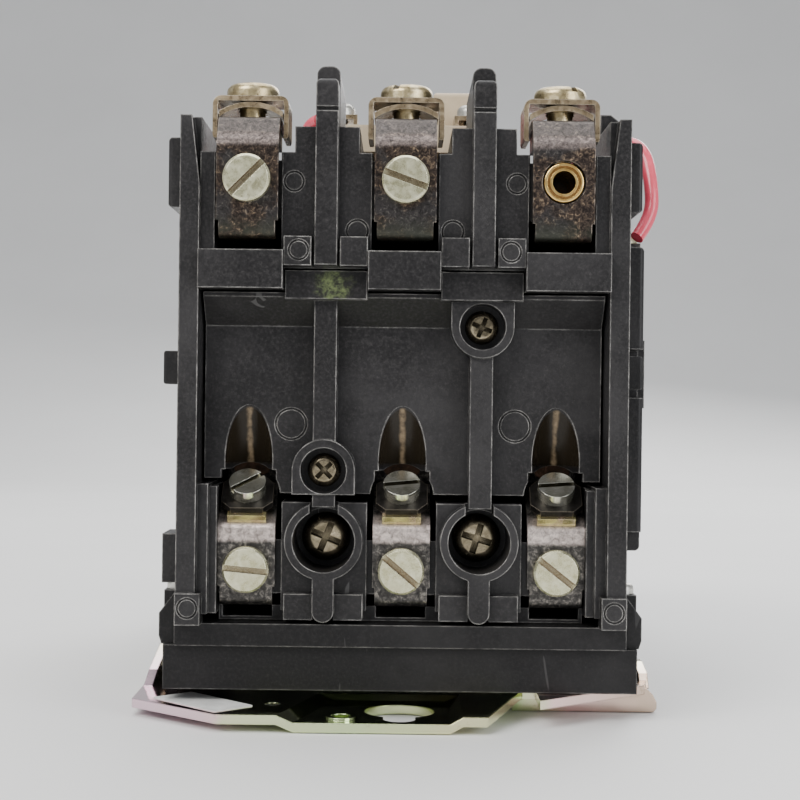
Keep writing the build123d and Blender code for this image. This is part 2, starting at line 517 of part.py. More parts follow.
# ---------------------------------------------------------------- terminals and fixed contacts
INSERT_R, INSERT_HOLE_R, LINE_SCREW_R = 3.75, 2.1, 2.05
CLAMP_Y = -72.0
CLAMP_SCREW_R = 2.4
CHEESE_HEAD_R, CHEESE_HEAD_H = 4.25, 2.4
TAB_Z = 109.7                           # middle of the strap's upper tab
ROOF_Z = 113.75                         # inside of the saddle clamp's roof
INNER_STRAP_HALF = 4.4
LOAD_STRAP_HALF = 5.3
SLOPE_MID = (-70.2, 38.8)               # where the load terminal's tilted screw meets its strap
SLOPE = math.radians(40)
NORMAL = (-math.sin(SLOPE), math.cos(SLOPE))
LEG_Y = TIP_FACE + TIP_THICK + STRAP / 2


def line_straps():
    """Each strap and the leg behind it, which carries the fixed tip and butts against its end."""
    straps = []
    for pole in POLES:
        whole = line_strap(pole)
        leg_side = box(pole - 9, pole + 9, LEG_Y - 1.9, -40.0, 60.0, 95.0)
        straps += [whole - leg_side, whole & leg_side]
    return group(straps)


def line_strap(pole):
    path = [(-64.0, TAB_Z), (-78.6, TAB_Z), (UPPER_FACE + STRAP / 2, 105.2), (UPPER_FACE + STRAP / 2, 88.8),
            (LEG_Y, 88.8), (LEG_Y, 67.6)]
    strap = bent_strip(path, STRAP, pole - STRAP_WIDTH / 2, pole + STRAP_WIDTH / 2)
    strap = strap - mirror_pair(pole, INNER_STRAP_HALF, 8.0, -80.4, -50.0, 60.0, 92.0)
    strap = strap - mirror_pair(pole, STRAP_WIDTH / 2 - 0.5, 8.0, -84.0, -80.3, 80.0, 91.2)
    strap = strap - rod_y(INSERT_R + 0.2, pole, LINE_SCREW_Z, -84.0, -80.0)
    return strap - rod_z(CLAMP_SCREW_R + 0.2, pole, CLAMP_Y, 107.0, 111.0)


def load_strap(pole):
    path = [(-26.0, 21.6), (LOWER_FACE + STRAP / 2, 21.6), (LOWER_FACE + STRAP / 2, 35.2), (-66.0, 42.3),
            (LEG_Y, 42.3), (LEG_Y, 51.4)]
    strap = bent_strip(path, STRAP, pole - LOAD_STRAP_HALF, pole + LOAD_STRAP_HALF)
    strap = strap - mirror_pair(pole, LOAD_STRAP_HALF - 0.45, 8.0, -76.0, -72.5, 18.0, 24.4)
    strap = strap - mirror_pair(pole, INNER_STRAP_HALF, 8.0, -72.6, -20.0, 18.0, 26.0)
    strap = strap - rod_y(2.1 + 0.1, pole, LOAD_SCREW_Z, -76.0, -73.0)
    return strap - along_normal(2.2, pole, -3.0, 3.0)


def along_normal(radius, pole, low, high):
    """A round bar square to the load terminal's slope, between two heights over the strap's middle."""
    y, z = SLOPE_MID
    return rod(radius, (pole, y + NORMAL[0] * low, z + NORMAL[1] * low),
               (pole, y + NORMAL[0] * high, z + NORMAL[1] * high))


def on_slope(pole, low, high, shape):
    """A flat plate lying on the load terminal's slope."""
    y, z = SLOPE_MID
    base = Plane(origin=(pole, y + NORMAL[0] * low, z + NORMAL[1] * low),
                 x_dir=(1, 0, 0), z_dir=(0, NORMAL[0], NORMAL[1]))
    return base * extrude(shape, high - low)


def load_clamp_plate(pole):
    plate = on_slope(pole, 0.85, 2.6, Pos(0, -0.9) * Rectangle(7.1, 8.6))
    return plate - along_normal(2.2, pole, -1.0, 6.0)


def load_clamp_washer(pole):
    shape = Pos(0, -0.3) * Rectangle(9.6, 8.6)
    shape = chamfer(shape.vertices(), 1.8)
    return on_slope(pole, 2.65, 4.0, shape) - along_normal(2.2, pole, -1.0, 6.0)


def load_clamp_screw(pole, turn):
    head = along_normal(3.4, pole, 4.05, 6.5)
    y, z = SLOPE_MID
    top = Plane(origin=(pole, y + NORMAL[0] * 6.5, z + NORMAL[1] * 6.5),
                x_dir=(1, 0, 0), z_dir=(0, NORMAL[0], NORMAL[1]))
    head = head - top * (Rot(0, 0, turn) * Box(8.0, 1.0, 2.0))
    return head + along_normal(2.1, pole, -4.6, 4.05)


def saddle_clamp(pole):
    outer = Pos(0, ROOF_Z - 3.35) * fillet(Rectangle(14.0, 8.6).vertices(), 1.6)
    inner = Pos(0, ROOF_Z - 3.5) * fillet(Rectangle(12.2, 7.0).vertices(), 0.9)
    section = outer - inner - Pos(0, ROOF_Z - 8.35) * Rectangle(20, 3.0)
    clamp = Plane(origin=(pole, CLAMP_Y - 4.8, 0), x_dir=(1, 0, 0), z_dir=(0, -1, 0)) * extrude(section, -9.6)
    clamp = clamp - box(pole - 6.0, pole + 6.0, -90, -50, 100.0, ROOF_Z)
    return clamp - rod_z(CLAMP_SCREW_R + 0.2, pole, CLAMP_Y, 105.0, 120.0)


def pressure_plate(pole):
    rise, half, sheet = 1.9, 5.85, 0.95
    radius = (half ** 2 + rise ** 2) / (2 * rise)
    ring = Circle(radius + sheet) - Circle(radius)
    top = ROOF_Z - 0.12
    section = Pos(0, top - sheet - radius) * ring & Pos(0, top - 2.2) * Rectangle(2 * half, 4.4)
    plate = Plane(origin=(pole, CLAMP_Y - 4.4, 0), x_dir=(1, 0, 0), z_dir=(0, -1, 0)) * extrude(section, -8.8)
    return plate - rod_z(CLAMP_SCREW_R + 0.3, pole, CLAMP_Y, 105.0, 120.0)


def clamp_nut(pole):
    nut = box(pole - 5.2, pole + 5.2, CLAMP_Y - 4.6, CLAMP_Y + 4.6, 105.6, TAB_Z - STRAP / 2 - 0.02)
    return nut - rod_z(CLAMP_SCREW_R + FIT, pole, CLAMP_Y, 100.0, 112.0)


def clamp_screws():
    return group([pan_screw_z(pole, CLAMP_Y, ROOF_Z + 0.97, 4.85, 2.6, CLAMP_SCREW_R, 11.0, turn)
                  for pole, turn in zip(POLES, (15, 65, 120))])


def threaded_inserts():
    """Tapped brass sleeves behind the line screws, with a shallow ring turned in the face."""
    inserts = []
    for pole in POLES:
        sleeve = rod_y(INSERT_R, pole, LINE_SCREW_Z, UPPER_FACE + 0.25, -67.0)
        sleeve = fillet(sleeve.edges().group_by(Axis.Y)[0], 0.45)
        ring = rod_y(3.05, pole, LINE_SCREW_Z, -90.0, UPPER_FACE + 0.65)
        ring = ring - rod_y(2.55, pole, LINE_SCREW_Z, -95.0, -60.0)
        inserts.append(sleeve - ring - rod_y(INSERT_HOLE_R, pole, LINE_SCREW_Z, -90.0, -60.0))
    return group(inserts)


def line_strap_screws():
    """Two of the three poles still have their screw; the third shows its empty insert."""
    return group([slotted_screw_y(pole, LINE_SCREW_Z, UPPER_FACE, CHEESE_HEAD_R, CHEESE_HEAD_H, LINE_SCREW_R,
                                  12.0, turn) for pole, turn in zip(POLES[:2], (-45, 20))])


def load_strap_screws():
    return group([slotted_screw_y(pole, LOAD_SCREW_Z, LOWER_FACE, CHEESE_HEAD_R, CHEESE_HEAD_H, 2.1, 9.0, turn)
                  for pole, turn in zip(POLES, (5, 40, 38))])


def stationary_tips():
    return group([rod_y(3.0, pole, z, TIP_FACE, TIP_FACE + TIP_THICK)
                  for pole in POLES for z in (UPPER_TIP_Z, LOWER_TIP_Z)])


# ---------------------------------------------------------------- moving contacts and magnet
BRIDGE_FACE = TIP_FACE - TIP_GAP
CAP_Y = -69.2
CAP_THICK = 1.2
CROSSBAR = (-50.0, -43.5)
RETURN_SPRING_X, RETURN_SPRING_Z, RETURN_SPRING_R = 21.5, 61.6, 3.0
ARMATURE = (-29.0, CORE_FACE - TRAVEL - 0.1)
STEM_HALF = 7.8
PIN_R, PIN_Y = 1.5, -26.6
FLANGE_HALF, FLANGE_Z0, FLANGE_Z1 = 19.5, 38.0, 88.0
DECK_Z0, DECK_Z1 = 112.0, 117.8
COIL_TERMINAL_X, COIL_TERMINAL_Y = 14.2, -20.0
def bridge_contact(pole):
    bar = box(pole - 3.4, pole + 3.4, BRIDGE_FACE - TIP_THICK - 1.6, BRIDGE_FACE - TIP_THICK, 44.6, 74.4)
    bar = soften(bar, 1.2, lambda e: abs(e.center().Z - 59.5) > 14.5 and abs(e.center().X - pole) > 3.0)
    for z in (UPPER_TIP_Z, LOWER_TIP_Z):
        bar = bar + rod_y(2.9, pole, z, BRIDGE_FACE - TIP_THICK, BRIDGE_FACE)
    return bar


def contact_carrier():
    body = box(-36.6, 36.6, CROSSBAR[0], CROSSBAR[1], 55.2, 68.2)
    body = body + mirrored_box(36.0, ARM_REACH, -53.0, -44.0, ARM_Z0, ARM_Z1)
    body = soften(body, 0.6, lambda e: abs(e.center().X) > ARM_REACH - 0.01)
    for pole in POLES:
        body = body + mirror_pair(pole, 3.9, 5.3, CAP_Y, CROSSBAR[0], 54.8, 64.4)
        body = body + box(pole - 5.3, pole + 5.3, CAP_Y, CAP_Y + CAP_THICK, 54.8, 64.4)
        stop = BRIDGE_FACE - TIP_THICK + RUN
        body = body + box(pole - 4.5, pole + 4.5, stop, stop + 2.0, 56.0, 63.0)
    body = body + box(-STEM_HALF, STEM_HALF, CROSSBAR[1], ARMATURE[0] - 0.4, 56.0, 70.0)
    body = body + box(-3.0, 3.0, ARMATURE[0] - 0.4, ARMATURE[0] + 5.0, 56.0, 70.0)
    for sx in (-1, 1):
        body = body - rod_y(RETURN_SPRING_R + 0.4, sx * RETURN_SPRING_X, RETURN_SPRING_Z,
                            CROSSBAR[1] - 3.0, CROSSBAR[1] + 1.0)
    return body - rod_z(PIN_R + FIT, 0, PIN_Y, 50, 80)


def armature():
    iron = box(-CORE_HALF, CORE_HALF, ARMATURE[0], ARMATURE[1], CORE_Z0, CORE_Z1)
    iron = iron - box(-3.3, 3.3, ARMATURE[0] - 1, ARMATURE[0] + 5.3, 55.7, 70.3)
    iron = iron - rod_z(PIN_R + FIT, 0, PIN_Y, 40, 90)
    for x in (-22.0, 22.0):
        for z in (55.0, 71.0):
            iron = iron + rod_y(1.6, x, z, ARMATURE[0] - 0.8, ARMATURE[0] + 0.1)
    return iron


def armature_pin():
    return rod_z(PIN_R, 0, PIN_Y, CORE_Z0 - 1.0, CORE_Z1 + 1.0)


def magnet_core():
    core = box(-CORE_HALF, CORE_HALF, 7.0, CORE_BACK, CORE_Z0, CORE_Z1)
    core = core + mirrored_box(20.0, CORE_HALF, CORE_FACE, 7.5, CORE_Z0, CORE_Z1)
    core = core + box(-7.0, 7.0, CORE_FACE + 0.3, 7.5, CORE_Z0, CORE_Z1)
    core = core - mirrored_box(23.95, 25.25, CORE_FACE - 1, CORE_FACE + 2.4, 40, 90)
    for x in (-24.0, 0.0, 24.0):
        for z in (54.0, 72.0):
            core = core + rod_y(1.6, x, z, CORE_BACK - 0.1, CORE_BACK + 0.9)
    return core


def shading_rings():
    rings = []
    for side in (-1, 1):
        outer = box(*sorted((side * 24.0, side * 29.2)), CORE_FACE + 0.2, CORE_FACE + 2.2, 48.8, 77.2)
        hole = box(*sorted((side * 25.2, side * 28.05)), CORE_FACE - 1, CORE_FACE + 4, 49.95, 76.05)
        rings.append(outer - hole)
    return group(rings)


def magnet_cushion():
    pad = box(-24.6, 24.6, CORE_BACK + 0.05, CORE_BACK + 3.0, 51.0, 75.0)
    for x in (-24.0, 0.0, 24.0):
        for z in (54.0, 72.0):
            pad = pad - rod_y(1.9, x, z, CORE_BACK - 1, CORE_BACK + 1.2)
    return soften(pad, 0.6, lambda e: abs(e.center().X) > 24.5)


def coil_bobbin():
    body = box(-8.4, 8.4, -14.0, 6.0, CORE_Z0 - 1.4, CORE_Z1 + 1.4)
    body = body + box(-FLANGE_HALF, FLANGE_HALF, -14.5, -13.1, FLANGE_Z0, FLANGE_Z1)
    body = body + box(-FLANGE_HALF, FLANGE_HALF, 5.0, 6.5, FLANGE_Z0, FLANGE_Z1)
    body = body - box(-7.2, 7.2, -20.0, 10.0, CORE_Z0 - 0.2, CORE_Z1 + 0.2)
    body = body + box(-17.5, 17.5, -14.5, -11.5, FLANGE_Z1 - 1.0, DECK_Z0 + 1)
    deck = box(-19.0, 19.0, -26.0, -9.0, DECK_Z0, DECK_Z1)
    deck = soften(deck, 1.0, lambda e: abs(e.center().X) > 18.9)
    body = body + deck + box(-1.2, 1.2, -26.0, -9.0, DECK_Z1 - 0.5, 120.5)
    body = body + soften(box(6.0, 19.0, -14.4, -9.0, DECK_Z1 - 0.5, 127.0), 1.0,
                         lambda e: e.center().Z > 126.9)
    for sx in (-1, 1):
        body = body - rod_z(1.6 + FIT, sx * COIL_TERMINAL_X, COIL_TERMINAL_Y, DECK_Z0 - 1, 122.0)
    return body


def coil_winding():
    coil = box(-18.6, 18.6, -13.0, 4.9, 39.4, 86.6)
    coil = soften(coil, 4.0, lambda e: abs(e.center().X) > 18.5 and abs(e.center().Z - 63) > 20)
    return coil - box(-8.5, 8.5, -20, 10, CORE_Z0 - 1.5, CORE_Z1 + 1.5)


def coil_clamps():
    clamps = []
    for sx in (-1, 1):
        x = sx * COIL_TERMINAL_X
        clamp = box(x - 3.8, x + 3.8, -24.0, -16.0, DECK_Z1 + 0.02, 120.3)
        clamp = clamp - box(x - 2.9, x + 2.9, -25, -15, DECK_Z1 - 1, 119.3)
        clamps.append(clamp - rod_z(1.8, x, COIL_TERMINAL_Y, 110, 125))
    return group(clamps)


def coil_screws():
    return group([pan_screw_z(sx * COIL_TERMINAL_X, COIL_TERMINAL_Y, 120.32, 3.2, 2.7, 1.6, 8.0, 30 + 50 * sx)
                  for sx in (-1, 1)])


def magnet_cover():
    lid = box(-BODY_HALF_WIDTH, BODY_HALF_WIDTH, CHAMBER_BACK + 0.2, MAGNET_BACK, 97.05, 101.0)
    lid = soften(lid, 1.2, lambda e: e.center().Z > 100.9)
    lid = lid - box(-18.0, 18.0, -27.0, -8.0, 90, 110)
    for y in (0.0, 6.0, 12.0, 18.0):
        lid = lid - box(-24.0, 24.0, y, y + 2.0, 99.8, 110)
    for sx in (-1, 1):
        lid = lid - rod_z(CAP_SCREW_R + FIT, sx * CAP_SCREW_X, CAP_SCREW_Y, 90, 110)
        lid = lid - rod_z(2.6, sx * CAP_SCREW_X, CAP_SCREW_Y, 99.4, 110)
    return lid


def spring_y(radius, bore, x, z, y0, y1):
    """The space that a coil spring along Y takes up."""
    return rod_y(radius, x, z, y0, y1) - rod_y(bore, x, z, y0 - 1, y1 + 1)


def return_springs():
    return group([spring_y(RETURN_SPRING_R, 2.0, sx * RETURN_SPRING_X, RETURN_SPRING_Z,
                           CROSSBAR[1] - 2.9, CHAMBER_BACK - 1.1) for sx in (-1, 1)])


def contact_spring(pole):
    return spring_y(2.8, 1.9, pole, 59.5, CAP_Y + CAP_THICK + 0.02, BRIDGE_FACE - TIP_THICK - 1.62)


# ---------------------------------------------------------------- auxiliary contact block
AUX = (41.2, 48.5)
AUX_Y0, AUX_Y1, AUX_Z0, AUX_Z1 = -46.0, 8.0, 29.0, 90.5
AUX_TERMINALS_Y = (-38.0, -14.0)
AUX_MID = 45.0
PLUNGER_Z0, PLUNGER_Z1 = 62.2, 67.8


def aux_contact_block():
    body = box(*AUX, AUX_Y0, AUX_Y1, AUX_Z0, AUX_Z1)
    body = soften(body, 1.0, lambda e: e.center().X > AUX[1] - 0.1)
    body = body + box(AUX[1] - 2.0, AUX[1] + 1.4, -37.3, -12.0, 58.0, 72.0)
    body = body - box(40.0, 50.0, -50.0, -37.4, ARM_Z0 - 1.6, ARM_Z1 + 1.6)
    body = body - box(42.2, 48.0, -38.0, -10.0, PLUNGER_Z0 - RUN, PLUNGER_Z1 + RUN)
    body = body - box(43.0, 47.6, -33.0, -17.0, PLUNGER_Z1 - 1, AUX_Z1 - 8.0)
    body = body - box(40.0, 50.0, -50.0, -43.0, AUX_Z0 - 1, 33.0)
    for y in AUX_TERMINALS_Y:
        body = body - rod_z(1.6 + FIT, AUX_MID, y, AUX_Z1 - 6.5, AUX_Z1 + 3)
        body = body + box(AUX_MID - 3.4, AUX_MID + 3.4, y + 4.4, y + 6.0, AUX_Z1 - 1, AUX_Z1 + 4.0)
    for z in AUX_SCREW_Z:
        body = body - rod_x(AUX_SCREW_R + FIT, AUX_SCREW_Y, z, 40, 60)
        body = body - rod_x(3.4, AUX_SCREW_Y, z, AUX[1] - 1.6, 60)
    return body


def aux_block_screws():
    screws = []
    for z in AUX_SCREW_Z:
        head = rod_x(3.0, AUX_SCREW_Y, z, AUX[1] - 1.55, AUX[1] + 0.5)
        head = fillet(head.edges().group_by(Axis.X)[-1], 1.0)
        head = head - Pos(AUX[1] + 0.5, AUX_SCREW_Y, z) * Rot(35, 0, 0) * Box(1.6, 8, 0.9)
        screws.append(head + rod_x(AUX_SCREW_R, AUX_SCREW_Y, z, INNER - 1.0, AUX[1] - 1.5))
    return group(screws)


def aux_plunger():
    body = box(42.6, 47.6, -43.7, -17.0, PLUNGER_Z0, PLUNGER_Z1)
    body = soften(body, 0.8, lambda e: e.center().Y < -43.6)
    return body - box(40, 50, -26.2, -24.0, 64.4, 70)


def aux_bridge():
    return box(43.4, 47.2, -26.1, -24.9, 64.5, 78.0)


def aux_terminals():
    strips = []
    for y in AUX_TERMINALS_Y:
        plate = box(AUX_MID - 3.2, AUX_MID + 3.2, y - 3.6, y + 4.2, AUX_Z1 + 0.02, AUX_Z1 + 1.2)
        strips.append(plate - rod_z(1.8, AUX_MID, y, AUX_Z1 - 1, AUX_Z1 + 3))
    return group(strips)


def aux_terminal_screws():
    return group([pan_screw_z(AUX_MID, y, AUX_Z1 + 1.25, 3.0, 2.3, 1.6, 7.0, 25) for y in AUX_TERMINALS_Y])


# ---------------------------------------------------------------- overload relay
DECK = 56.0
RELAY_TOP = 70.0
RESET_X, RESET_Y = 22.0, 73.0
LEVER_X0, LEVER_X1, LEVER_Y, LEVER_Z = -24.0, -16.0, 73.0, 63.5
PIN_LEVER_R = 0.9
RELAY_FACE = OVERLOAD_Y1
LOAD_OUT_Z = 23.0
HEATER_Y = (46.0, 61.0)
CONTROL_Y = (70.6, 76.0)
CONTROL_X = -34.5


def overload_housing():
    body = box(-OVERLOAD_HALF, OVERLOAD_HALF, OVERLOAD_Y0, OVERLOAD_Y1, BASE_Z0, DECK)
    body = body + box(-OVERLOAD_HALF, OVERLOAD_HALF, MAGNET_BACK + 0.3, OVERLOAD_Y0, BASE_Z0, 44.0)
    for pole in POLES:
        body = body - box(pole - BUS_HALF, pole + BUS_HALF, 30.0, 44.0, 21.0, 25.5)
        body = body - box(pole - BUS_HALF, pole + BUS_HALF, 41.0, 44.0, 22.0, 60.0)
        body = body - box(pole - 6.4, pole + 6.4, 48.6, 58.4, 43.0, 60.0)
        body = body - box(pole - BUS_HALF, pole + BUS_HALF, 64.6, 67.6, 34.0, 60.0)
        body = body - box(pole - 6.0, pole + 6.0, 66.0, 90.0, 12.0, 36.5)
        body = body + box(pole - 6.0, pole + 6.0, 66.5, OVERLOAD_Y1 - 2.0, 12.0, 33.6)
        body = body - rod_y(2.4, pole, LOAD_OUT_Z, 68.0, 90.0)
        for y in HEATER_Y:
            body = body - rod_z(1.9, pole, y, DECK - 9.0, 62.0)
    for post in (-MID, MID):
        body = body + box(post - 1.6, post + 1.6, 44.0, 64.0, DECK - 1, 64.0)
        body = body + box(post - 1.6, post + 1.6, OVERLOAD_Y1 - 1, 85.0, 8.0, 40.0)
    body = body - rod_z(3.9, RESET_X, RESET_Y, 50.0, 60.0)
    for x, y in OVERLOAD_SCREWS:
        body = body - rod_z(PLATE_SCREW_R + FIT, x, y, 0, 24.0)
    for y in CONTROL_Y:
        body = body - rod_z(1.2 + 0.2, CONTROL_X, y, 50.0, 60.0)
    return body


def overload_cover():
    lid = box(-OVERLOAD_HALF, OVERLOAD_HALF, 67.8, OVERLOAD_Y1, DECK + 0.05, RELAY_TOP)
    lid = soften(lid, 1.2, lambda e: e.center().Z > RELAY_TOP - 0.1)
    lid = lid - rod_z(4.3, RESET_X, RESET_Y, 50, 90)
    lid = lid - rod_z(5.2, RESET_X, RESET_Y, 50, 65.4)
    lid = lid - box(LEVER_X0 - 0.4, LEVER_X1 + 0.4, 69.4, 77.0, 58.0, 80)
    lid = lid - rod_x(PIN_LEVER_R + FIT, LEVER_Y, LEVER_Z, LEVER_X0 - 4.0, LEVER_X1 + 4.0)
    for y in CONTROL_Y:
        lid = lid - rod_z(1.2 + FIT, CONTROL_X, y, 50, 90)
    return lid


def load_conductor(pole):
    path = [(-30.0, 23.25), (42.4, 23.25), (42.4, DECK + 0.85), (49.4, DECK + 0.85)]
    bar = bent_strip(path, STRAP, pole - INNER_STRAP_HALF, pole + INNER_STRAP_HALF)
    return bar - rod_z(1.9, pole, HEATER_Y[0], 50, 60)


def load_terminal(pole):
    path = [(58.2, DECK + 0.85), (66.2, DECK + 0.85), (66.2, 35.0), (RELAY_FACE + STRAP / 2, 35.0),
            (RELAY_FACE + STRAP / 2, 13.0)]
    strap = bent_strip(path, STRAP, pole - INNER_STRAP_HALF, pole + INNER_STRAP_HALF)
    strap = strap - rod_z(1.9, pole, HEATER_Y[1], 50, 60)
    return strap - rod_y(2.3, pole, LOAD_OUT_Z, 70, 90)


def heater(pole):
    """A heater element: two lugs joined by a wound coil that hangs in its pocket."""
    low = DECK + 1.7
    lugs = box(pole - 4.2, pole + 4.2, 43.0, 50.0, low, low + 1.3)
    lugs = lugs + box(pole - 4.2, pole + 4.2, 57.0, 64.4, low, low + 1.3)
    lugs = lugs + box(pole - 1.2, pole + 1.2, 49.4, 50.6, 50.0, low + 1.3)
    lugs = lugs + box(pole - 1.2, pole + 1.2, 56.4, 57.6, 50.0, low + 1.3)
    lugs = lugs + rod_y(4.2, pole, 49.5, 50.0, 57.0)
    for y in HEATER_Y:
        lugs = lugs - rod_z(1.9, pole, y, 50, 62)
    return lugs


def relay_screws():
    """The screws that hold the heaters, and the pair for the control wires."""
    heater_screws = [pan_screw_z(pole, y, DECK + 3.05, 3.4, 2.2, 1.8, 9.0, 17 * i + pole)
                     for i, y in enumerate(HEATER_Y) for pole in POLES]
    control_screws = [pan_screw_z(CONTROL_X, y, RELAY_TOP + 0.02, 2.3, 1.8, 1.2, 12.0, 60) for y in CONTROL_Y]
    return group(heater_screws + control_screws)


def load_out_clamp(pole):
    face = RELAY_FACE + STRAP + 0.02
    plate = box(pole - 4.6, pole + 4.6, face, face + 1.3, LOAD_OUT_Z - 4.6, LOAD_OUT_Z + 4.6)
    plate = soften(plate, 0.9, lambda e: min(abs(e.center().X - pole), abs(e.center().Z - LOAD_OUT_Z)) > 4.5)
    return plate - rod_y(2.3, pole, LOAD_OUT_Z, 70, 90)


def load_out_screws():
    """The line end's screw form turned round to face the load end."""
    seat = -(RELAY_FACE + STRAP + 1.35)
    return group([mirror(slotted_screw_y(pole, LOAD_OUT_Z, seat, CHEESE_HEAD_R, CHEESE_HEAD_H, 2.2, 11.0, turn),
                         about=Plane.XZ) for pole, turn in zip(POLES, (25, -60, 80))])


def reset_button():
    button = rod_z(4.0, RESET_X, RESET_Y, 62.0, 76.0)
    button = fillet(button.edges().group_by(Axis.Z)[-1], 1.0)
    return button + rod_z(4.9, RESET_X, RESET_Y, 62.6, 65.0)


def reset_spring():
    return rod_z(3.5, RESET_X, RESET_Y, 50.05, 61.95) - rod_z(2.5, RESET_X, RESET_Y, 50, 62)


def trip_lever():
    lever = rod_x(2.0, LEVER_Y, LEVER_Z, LEVER_X0, LEVER_X1)
    lever = lever + box(LEVER_X0, LEVER_X1, LEVER_Y - 0.9, LEVER_Y + 0.9, LEVER_Z, 74.5)
    lever = soften(lever, 0.8, lambda e: e.center().Z > 74.4)
    return lever - rod_x(PIN_LEVER_R + FIT, LEVER_Y, LEVER_Z, LEVER_X0 - 1, LEVER_X1 + 1)


def trip_lever_pin():
    return rod_x(PIN_LEVER_R, LEVER_Y, LEVER_Z, LEVER_X0 - 3.8, LEVER_X1 + 3.8)


# ---------------------------------------------------------------- control wires
WIRE_R = 1.45
COIL_WIRE = [(15.4, -25.8, 119.4), (16.9, -28.8, 118.6), (17.2, -29.2, 112.0), (20.5, -29.2, 106.6),
             (30.0, -28.4, 105.9), (38.0, -29.6, 109.6), (44.4, -32.6, 114.0), (49.4, -36.6, 112.0),
             (50.6, -39.6, 104.0), (50.5, -41.0, 97.0), (47.2, -43.2, 92.7)]
TRIP_WIRE = [(-19.0, -20.2, 119.4), (-21.4, -18.2, 118.9), (-22.6, -10.0, 114.5), (-28.0, 0.0, 106.6),
             (-36.4, 16.0, 104.2), (-36.2, 34.5, 103.4), (-35.2, 46.0, 90.0), (-34.8, 56.0, 77.0),
             (-34.5, 67.9, 71.9)]


def corner_radii(route):
    """The largest arc that the two runs at each corner leave room for."""
    points = [Vector(*p) for p in route]
    radii = []
    for before, here, after in zip(points, points[1:], points[2:]):
        run_in, run_out = here - before, after - here
        turn = math.radians(run_in.get_angle(run_out))
        radii.append(0.45 * min(run_in.length, run_out.length) / math.tan(turn / 2))
    return radii


def wire(name, route):
    radii = corner_radii(route)
    path = FilletPolyline(*route, radius=radii)
    start = Plane(origin=route[0], z_dir=Vector(*route[1]) - Vector(*route[0]))
    tube = sweep(start * Circle(WIRE_R), path=path)
    expected = math.pi * WIRE_R ** 2 * path.length
    print(name, "radii", [round(r, 1) for r in radii], "length", round(path.length, 1),
          "volume ratio", round(tube.volume / expected, 4))
    return tube


# ---------------------------------------------------------------- write the pieces
def save(name, part):
    part = part if isinstance(part, Compound) and len(part.solids()) > 1 else part.solid() or part
    export_step(part, f"parts/{name}.step")


def main():
    os.makedirs("parts", exist_ok=True)
    save("mounting_plate", mounting_plate())
    save("label_plate", label_plate())
    save("base_housing", base_housing())
    save("plate_screws", plate_screws())
    save("contact_block", contact_block())
    save("contact_block_walls", contact_block_walls())
    save("contact_block_base", contact_block_base())
    save("arc_barriers", arc_barriers())
    save("contact_block_screws", contact_block_screws())
    save("arc_cover", arc_cover())
    save("cover_screws", cover_screws())
    save("line_straps", line_straps())
    save("load_straps", group([load_strap(pole) for pole in POLES]))
    for number, pole in enumerate(POLES, 1):
        save(f"bridge_contact_{number}", bridge_contact(pole))
    save("threaded_inserts", threaded_inserts())
    save("line_strap_screws", line_strap_screws())
    save("load_strap_screws", load_strap_screws())
    save("saddle_clamps", group([saddle_clamp(pole) for pole in POLES]))
    save("pressure_plates", group([pressure_plate(pole) for pole in POLES]))
    save("clamp_nuts", group([clamp_nut(pole) for pole in POLES]))
    save("clamp_screws", clamp_screws())
    save("load_clamp_plates", group([load_clamp_plate(pole) for pole in POLES]))
    save("load_clamp_washers", group([load_clamp_washer(pole) for pole in POLES]))
    save("load_clamp_screws", group([load_clamp_screw(pole, turn) for pole, turn in zip(POLES, (38, 8, 6))]))
    save("stationary_tips", stationary_tips())
    save("contact_carrier", contact_carrier())
    save("contact_springs", group([contact_spring(pole) for pole in POLES]))
    save("return_springs", return_springs())
    save("armature", armature())
    save("armature_pin", armature_pin())
    save("magnet_core", magnet_core())
    save("shading_rings", shading_rings())
    save("magnet_cushion", magnet_cushion())
    save("coil_bobbin", coil_bobbin())
    save("coil_winding", coil_winding())
    save("coil_clamps", coil_clamps())
    save("coil_screws", coil_screws())
    save("magnet_cover", magnet_cover())
    save("aux_contact_block", aux_contact_block())
    save("aux_block_screws", aux_block_screws())
    save("aux_plunger", aux_plunger())
    save("aux_bridge", aux_bridge())
    save("aux_terminals", aux_terminals())
    save("aux_terminal_screws", aux_terminal_screws())
    save("overload_housing", overload_housing())
    save("overload_cover", overload_cover())
    save("load_conductors", group([load_conductor(pole) for pole in POLES]))
    save("load_terminals", group([load_terminal(pole) for pole in POLES]))
    save("heaters", group([heater(pole) for pole in POLES]))
    save("relay_screws", relay_screws())
    save("load_out_clamps", group([load_out_clamp(pole) for pole in POLES]))
    save("load_out_screws", load_out_screws())
    save("reset_button", reset_button())
    save("reset_spring", reset_spring())
    save("trip_lever", trip_lever())
    save("trip_lever_pin", trip_lever_pin())
    save("coil_wire", wire("coil_wire", COIL_WIRE))
    save("trip_wire", wire("trip_wire", TRIP_WIRE))


main()
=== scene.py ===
import json
import math

import bpy
from mathutils import Matrix, Vector


